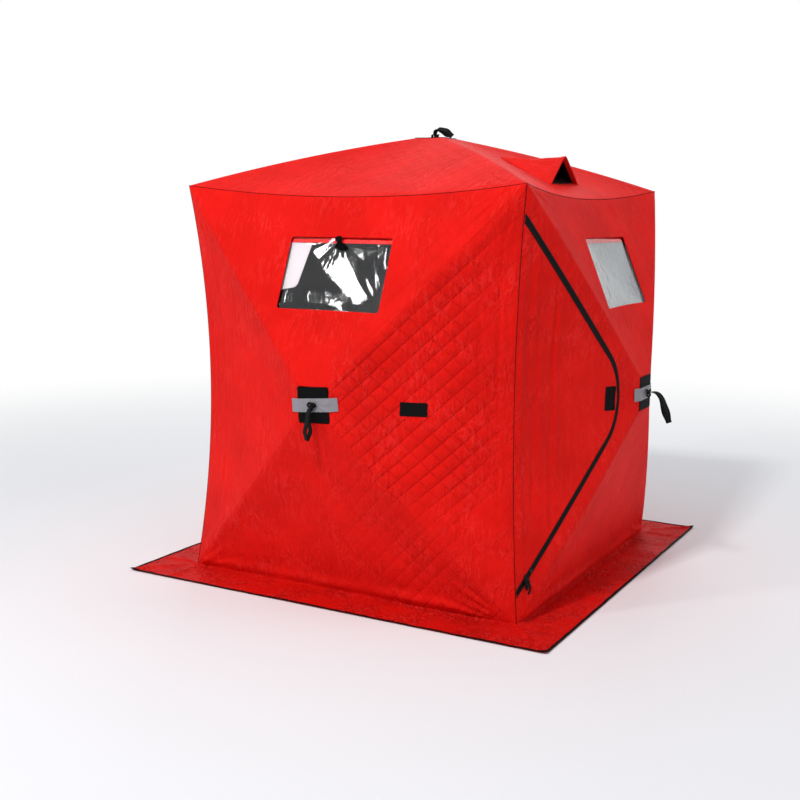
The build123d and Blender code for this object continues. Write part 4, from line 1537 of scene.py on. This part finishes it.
class HUT_OT_vent(bpy.types.Operator):
    """Vent hood on the right roof panel, with its hem, facing and dark net"""

    bl_idname = "hut.vent"
    bl_label = "Vent Hood"

    def execute(self, context):
        # The hood's inner side is black fabric beyond the red facing: painted shade of the hollow under the hood
        hood = hood_sheet("vent_hood_fabric", 0.0, 1.0, 0.0, 40, [roof_fabric(), black_fabric()], 0.0025)
        sewn(hood, ["vent_hood"])
        for part, first, last, lift, rows, thickness in (
            ("hem", 0.0, 0.05, 0.0022, 5, 0.0012), ("facing", 0.002, 0.07, -0.0036, 6, 0.001),
        ):
            piece = hood_sheet(f"vent_hood_{part}", first, last, lift, rows, [roof_fabric()], thickness)
            sewn(piece, [])
        step = 0.012
        mouth, tail, half = VENT_HIGH.x - 0.015, VENT_LOW.x + 0.06, VENT_HALF * 0.88
        ends = [
            (VENT_MIDDLE - half, mouth), (VENT_MIDDLE + half, mouth),
            (VENT_MIDDLE + 0.006, tail), (VENT_MIDDLE - 0.006, tail),
        ]
        net = cloth(
            "vent_net", [closed_run(ends, step)], raised(roof_face(DOOR_WALL), 0.0022), [black_fabric()],
            step=step, thickness=THIN, flip=True,
        )
        sewn(net, [])
        return {"FINISHED"}


def hood_sheet(name, first, last, lift, rows, finishes, thickness):
    """Sheet over the tent of the hood, from its mouth at share 0 to its closed tail at share 1."""
    columns, rounding = 49, 0.035
    panel = roof_panel()
    mouth, tail = VENT_HIGH.x, VENT_LOW.x
    along = np.linspace(first, last, rows)[:, None] * np.ones(columns)
    aside = np.ones(rows)[:, None] * np.linspace(-1, 1, columns)
    out = mouth + (tail - mouth) * along
    across = VENT_MIDDLE + aside * (VENT_HALF * (1 - along) + 0.003)
    level = panel_depth(panel, across, out)
    apex = VENT_HIGH.z - 0.003 - float(panel_depth(panel, np.array([VENT_MIDDLE]), np.array([mouth]))[0])
    blunt = math.sqrt(rounding)
    tent = 1 - (np.sqrt(aside ** 2 + rounding) - blunt) / (math.sqrt(1 + rounding) - blunt)
    slack = 1 - 0.07 * np.sin(math.pi * np.abs(aside)) * (1 - along)
    rise = apex * (1 - along) * tent * slack - 0.010 * np.sin(math.pi * along) * tent
    wrinkle = 0.0016 * cloud(across * 1.6, out * 0.6, 0.04, 41) + 0.003 * cloud(across, out, 0.11, 42)
    wrinkle *= ramp(1 - np.abs(aside), 0.0, 0.2) * ramp(along, 0.0, 0.12) * ramp(1 - along, 0.0, 0.2)
    level = (level + (np.maximum(rise, 0) + wrinkle) + lift + 0.0025).reshape(-1)
    flat = np.stack([across, out], axis=-1).reshape(-1, 2)
    points = turned(on_roof(flat[:, 0], level, flat[:, 1]), TURNS[DOOR_WALL])
    return thicken(smooth_object(name, points, grid_faces(rows, columns), flat, finishes), thickness)


class HUT_OT_straps(bpy.types.Operator):
    """Webbing pull straps knotted on the five hubs"""

    bl_idname = "hut.straps"
    bl_label = "Pull Straps"

    def execute(self, context):
        for wall, route in WALL_STRAPS.items():
            across, out, up = np.array(route).T
            placed = turned(on_wall(across, HUB_DEPTH + out, HUB_HEIGHT + up), TURNS[wall])
            outward, sideways = turned(np.array([[0.0, -1.0, 0.0], [1.0, 0.0, 0.0]]), TURNS[wall])
            self.strap(f"{wall}_pull_strap", placed, outward, sideways, 0.9 if wall == DOOR_WALL else 0.3)
        placed = np.array(ROOF_STRAP) + (0.0, 0.0, PEAK)
        self.strap("roof_pull_strap", placed, np.array([0.0, 0.0, 1.0]), np.array([0.5, 0.87, 0.0]), 0.6)
        return {"FINISHED"}

    def strap(self, name, route, outward, sideways, turn):
        """A knot, and a folded loop of webbing that hangs from it along the route."""
        loop = webbing_loop(name, smooth_line(route, 40), outward, sideways, turn)
        for piece in (loop, knot(name + "_knot", route[0] + outward * 0.006, outward, sideways)):
            finish_piece(piece, ["pull_straps"])


# Routes of the straps from their knots: across, out and up from the hub
WALL_STRAPS = {
    "front": (
        (0.003, 0.012, -0.002), (0.003, 0.040, -0.022), (0.002, 0.046, -0.065),
        (-0.001, 0.044, -0.110), (-0.006, 0.043, -0.152),
    ),
    "right": (
        (0.0, 0.012, 0.0), (0.0, 0.054, 0.002), (-0.002, 0.082, -0.022),
        (-0.004, 0.100, -0.068), (-0.006, 0.125, -0.135),
    ),
    "back": (
        (0.006, 0.012, 0.0), (0.007, 0.042, -0.018), (0.010, 0.050, -0.070),
        (0.014, 0.048, -0.120), (0.022, 0.046, -0.165),
    ),
    "left": (
        (-0.004, 0.012, 0.0), (-0.004, 0.046, -0.014), (-0.008, 0.060, -0.060),
        (-0.013, 0.062, -0.115), (-0.020, 0.060, -0.160),
    ),
}
ROOF_STRAP = (
    (0.0, 0.0, 0.006), (-0.004, 0.0, 0.030), (0.012, 0.0, 0.046), (0.045, 0.004, 0.036), (0.088, 0.008, 0.012),
)


def webbing_loop(name, line, outward, sideways, turn):
    """Webbing that runs down a line and back beside it, gathered at the knot and open near its end."""
    width, columns = trim_settings().strap_width, 7
    share = np.linspace(0, 1, len(line))
    opening = (0.005 + 0.026 * np.sin(math.pi * share ** 2.6) ** 2)[:, None]
    spread = width * (0.40 + 0.34 * ramp(share, 0.0, 0.35)) / 2
    twist = (0.35 + (turn - 0.35) * share)[:, None]
    tangent = unit(np.gradient(line, axis=0))
    across = sideways[None] * np.cos(twist) + outward[None] * np.sin(twist)
    across = unit(across - tangent * (across * tangent).sum(axis=1, keepdims=True))
    away = np.cross(tangent, across)
    down, back = line + away * opening / 2, (line - away * opening / 2)[::-1]
    bend = [
        line[-1] + tangent[-1] * 0.004 * math.sin(a) + away[-1] * opening[-1] / 2 * math.cos(a)
        for a in np.linspace(0, math.pi, 7)[1:-1]
    ]
    path = np.concatenate([down, bend, back])
    spreads = np.concatenate([spread, np.full(len(bend), spread[-1]), spread[::-1]])
    sides = np.concatenate([across, np.repeat(across[-1:], len(bend), axis=0), across[::-1]])
    steps = [k / (columns - 1) for k in range(columns)]
    points = [
        place + side * reach * (2 * step - 1) for place, reach, side in zip(path, spreads, sides) for step in steps
    ]
    flat = np.array([(width * (step - 0.5), mark) for mark in distances(path) for step in steps])
    piece = smooth_object(name, points, grid_faces(len(path), columns, flip=True), flat, [webbing()])
    return thicken(piece, trim_settings().strap_thickness, 0)


def knot(name, middle, outward, sideways):
    """Webbing pulled into a small overhand knot against the band."""
    upward = np.cross(outward, sideways)
    upward = upward if upward[2] >= 0 else -upward
    turns, around, radius = 90, 8, 0.0058
    t = np.linspace(0, 2 * math.pi, turns, endpoint=False)
    x, y, z = np.sin(t) + 1.6 * np.sin(2 * t), np.cos(t) - 1.6 * np.cos(2 * t), -np.sin(3 * t)
    line = middle + (sideways * x[:, None] + upward * y[:, None] * 0.95) * 0.0076 + outward * z[:, None] * 0.006
    tangent = unit(np.roll(line, -1, axis=0) - np.roll(line, 1, axis=0))
    first = unit(np.cross(tangent, outward))
    second = np.cross(tangent, first)
    points, flat = [], []
    for row in range(turns):
        for k in range(around):
            a = 2 * math.pi * k / around
            points.append(line[row] + (first[row] * math.cos(a) + second[row] * math.sin(a) * 0.7) * radius)
            flat.append((radius * a, 0.0022 * row))
    return smooth_object(name, points, ring_faces(turns, around, closed=True), flat, [webbing()])


class HUT_OT_frame(bpy.types.Operator):
    """Finishes of the rods, hubs and corner fittings"""

    bl_idname = "hut.frame"
    bl_label = "Rods and Fittings"

    def execute(self, context):
        for name in [f"{wall}_rods" for wall in TURNS] + ["roof_rods"]:
            coat_node(name, fibreglass())
        for name in ("wall_hubs", "roof_hub", "eave_fittings", "feet"):
            coat_node(name, moulded_nylon())
        return {"FINISHED"}


def coat_node(name, finish):
    """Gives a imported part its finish."""
    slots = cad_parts[name].data.materials
    slots.clear()
    slots.append(finish)


class HUT_OT_stage(bpy.types.Operator):
    """Camera, pale floor, world and soft lamps"""

    bl_idname = "hut.stage"
    bl_label = "Stage"

    def execute(self, context):
        stage, scene = context.scene.hut_stage, context.scene
        camera = bpy.data.cameras.new("camera")
        camera.lens, camera.sensor_width, camera.clip_end = stage.lens, 36.0, 100.0
        holder = bpy.data.objects.new("camera", camera)
        scene.collection.objects.link(holder)
        turn = Matrix.Rotation(stage.azimuth, 4, "Z") @ Matrix.Rotation(math.pi / 2 - stage.elevation, 4, "X")
        holder.matrix_world = Matrix.Translation(stage.camera_place) @ turn @ Matrix.Rotation(stage.roll, 4, "Z")
        scene.camera = holder
        scene.view_settings.view_transform = "Standard"
        self.make_floor(stage)
        self.make_world(scene)
        for name, values in LAMPS.items():
            lamp(scene, name, *values)
        return {"FINISHED"}

    def make_floor(self, stage):
        """Pale floor that fades into the white surroundings, for the camera's eye only."""
        half = stage.floor_size / 2
        corners = [(-half, -half, 0), (half, -half, 0), (half, half, 0), (-half, half, 0)]
        finish, tree = new_material("studio_floor")
        matt = add_node(tree, "BsdfPrincipled", {"Base Color": stage.floor, "Roughness": 0.9})
        white = add_node(tree, "Emission", {"Color": WHITE, "Strength": 1.0})
        place = add_node(tree, "TexCoord").outputs["Object"]
        distance = add_node(tree, "VectorMath", {0: place}, operation="LENGTH").outputs["Value"]
        fade = add_node(
            tree, "MapRange", {"Value": distance, "From Min": FLOOR_FADE[0], "From Max": FLOOR_FADE[1]},
            interpolation_type="SMOOTHSTEP",
        )
        seen = add_node(tree, "LightPath").outputs["Is Camera Ray"]
        share = add_node(tree, "Math", {0: fade, 1: seen}, operation="MULTIPLY")
        mixed = add_node(tree, "MixShader", {"Fac": share, 1: matt, 2: white})
        add_node(tree, "OutputMaterial", {"Surface": mixed})
        floor = smooth_object("floor", corners, [(0, 1, 2, 3)], None, [finish])
        floor.location.z = -0.0005

    def make_world(self, scene):
        """Surroundings that are white to look at or to mirror, and light the hut more softly."""
        world = bpy.data.worlds.new("studio")
        scene.world = world
        world.use_nodes = True
        tree = world.node_tree
        tree.nodes.clear()
        path = add_node(tree, "LightPath").outputs
        seen = add_node(tree, "Math", {0: path["Is Camera Ray"], 1: path["Is Glossy Ray"]}, operation="MAXIMUM")
        seen = add_node(tree, "Math", {0: seen, 1: path["Is Transmission Ray"]}, operation="MAXIMUM")
        light = add_node(tree, "Background", {"Color": SKY, "Strength": 0.46})
        white = add_node(tree, "Background", {"Color": WHITE, "Strength": 1.0})
        add_node(tree, "OutputWorld", {"Surface": add_node(tree, "MixShader", {"Fac": seen, 1: light, 2: white})})


WHITE, SKY = (1.0, 1.0, 1.0, 1.0), (0.93, 0.96, 1.0, 1.0)
FLOOR_FADE = (2.6, 7.5)  # distances from the hut's middle between which the floor turns white
# Soft lamps: place, target, width, height and power in watts
LAMPS = {
    "key": ((0.10, -6.46, 7.71), (0.0, -1.0, 1.2), 1.2, 0.9, 438),
    "sparkle": ((-4.21, -6.38, 5.57), (0.04, -1.0, 1.484), 0.7, 0.55, 105),
    "fill": ((6.8, 2.6, 4.0), (0.6, 0.0, 1.0), 3.0, 3.0, 82),
    "rim": ((-2.5, 5.8, 4.5), (0.0, 0.0, 1.2), 4.0, 3.0, 120),
}


def lamp(scene, name, place, target, width, height, power):
    """Soft rectangular lamp that points at a target."""
    data = bpy.data.lights.new(name, "AREA")
    data.shape, data.size, data.size_y, data.energy = "RECTANGLE", width, height, power
    holder = bpy.data.objects.new(name, data)
    scene.collection.objects.link(holder)
    holder.location = place
    holder.rotation_euler = (Vector(target) - Vector(place)).to_track_quat("-Z", "Y").to_euler()


OPERATORS = [
    HUT_OT_walls, HUT_OT_door, HUT_OT_zip, HUT_OT_roof, HUT_OT_seams, HUT_OT_skirt, HUT_OT_hubs, HUT_OT_hook_patches,
    HUT_OT_windows, HUT_OT_vent, HUT_OT_straps, HUT_OT_frame, HUT_OT_stage,
]
GROUPS = {"hut_fabric": HutFabric, "hut_trim": HutTrim, "hut_window": HutWindow, "hut_stage": HutStage}


class HUT_PT_sidebar(bpy.types.Panel):
    """Buttons for the hut's pieces, and their sizes and colours"""

    bl_idname = "HUT_PT_sidebar"
    bl_label = "Ice Fishing Hut"
    bl_space_type = "VIEW_3D"
    bl_region_type = "UI"
    bl_category = "Hut"

    def draw(self, context):
        for operator in OPERATORS:
            self.layout.operator(operator.bl_idname)
        for name, group in GROUPS.items():
            box = self.layout.box()
            for key in group.__annotations__:
                box.prop(getattr(context.scene, name), key)


def register():
    """Registers the classes and hangs the settings on the scene."""
    for group in GROUPS.values():
        bpy.utils.register_class(group)
    for operator in OPERATORS:
        bpy.utils.register_class(operator)
    bpy.utils.register_class(HUT_PT_sidebar)
    for name, group in GROUPS.items():
        setattr(bpy.types.Scene, name, bpy.props.PointerProperty(type=group))


def unregister():
    """Takes the settings and the classes away again."""
    for name in GROUPS:
        delattr(bpy.types.Scene, name)
    bpy.utils.unregister_class(HUT_PT_sidebar)
    for operator in reversed(OPERATORS):
        bpy.utils.unregister_class(operator)
    for group in GROUPS.values():
        bpy.utils.unregister_class(group)


def main():
    """Makes every piece in order."""
    register()
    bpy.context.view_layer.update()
    for operator in OPERATORS:
        group, name = operator.bl_idname.split(".")
        getattr(getattr(bpy.ops, group), name)()


if __name__ == "__main__":
    main()
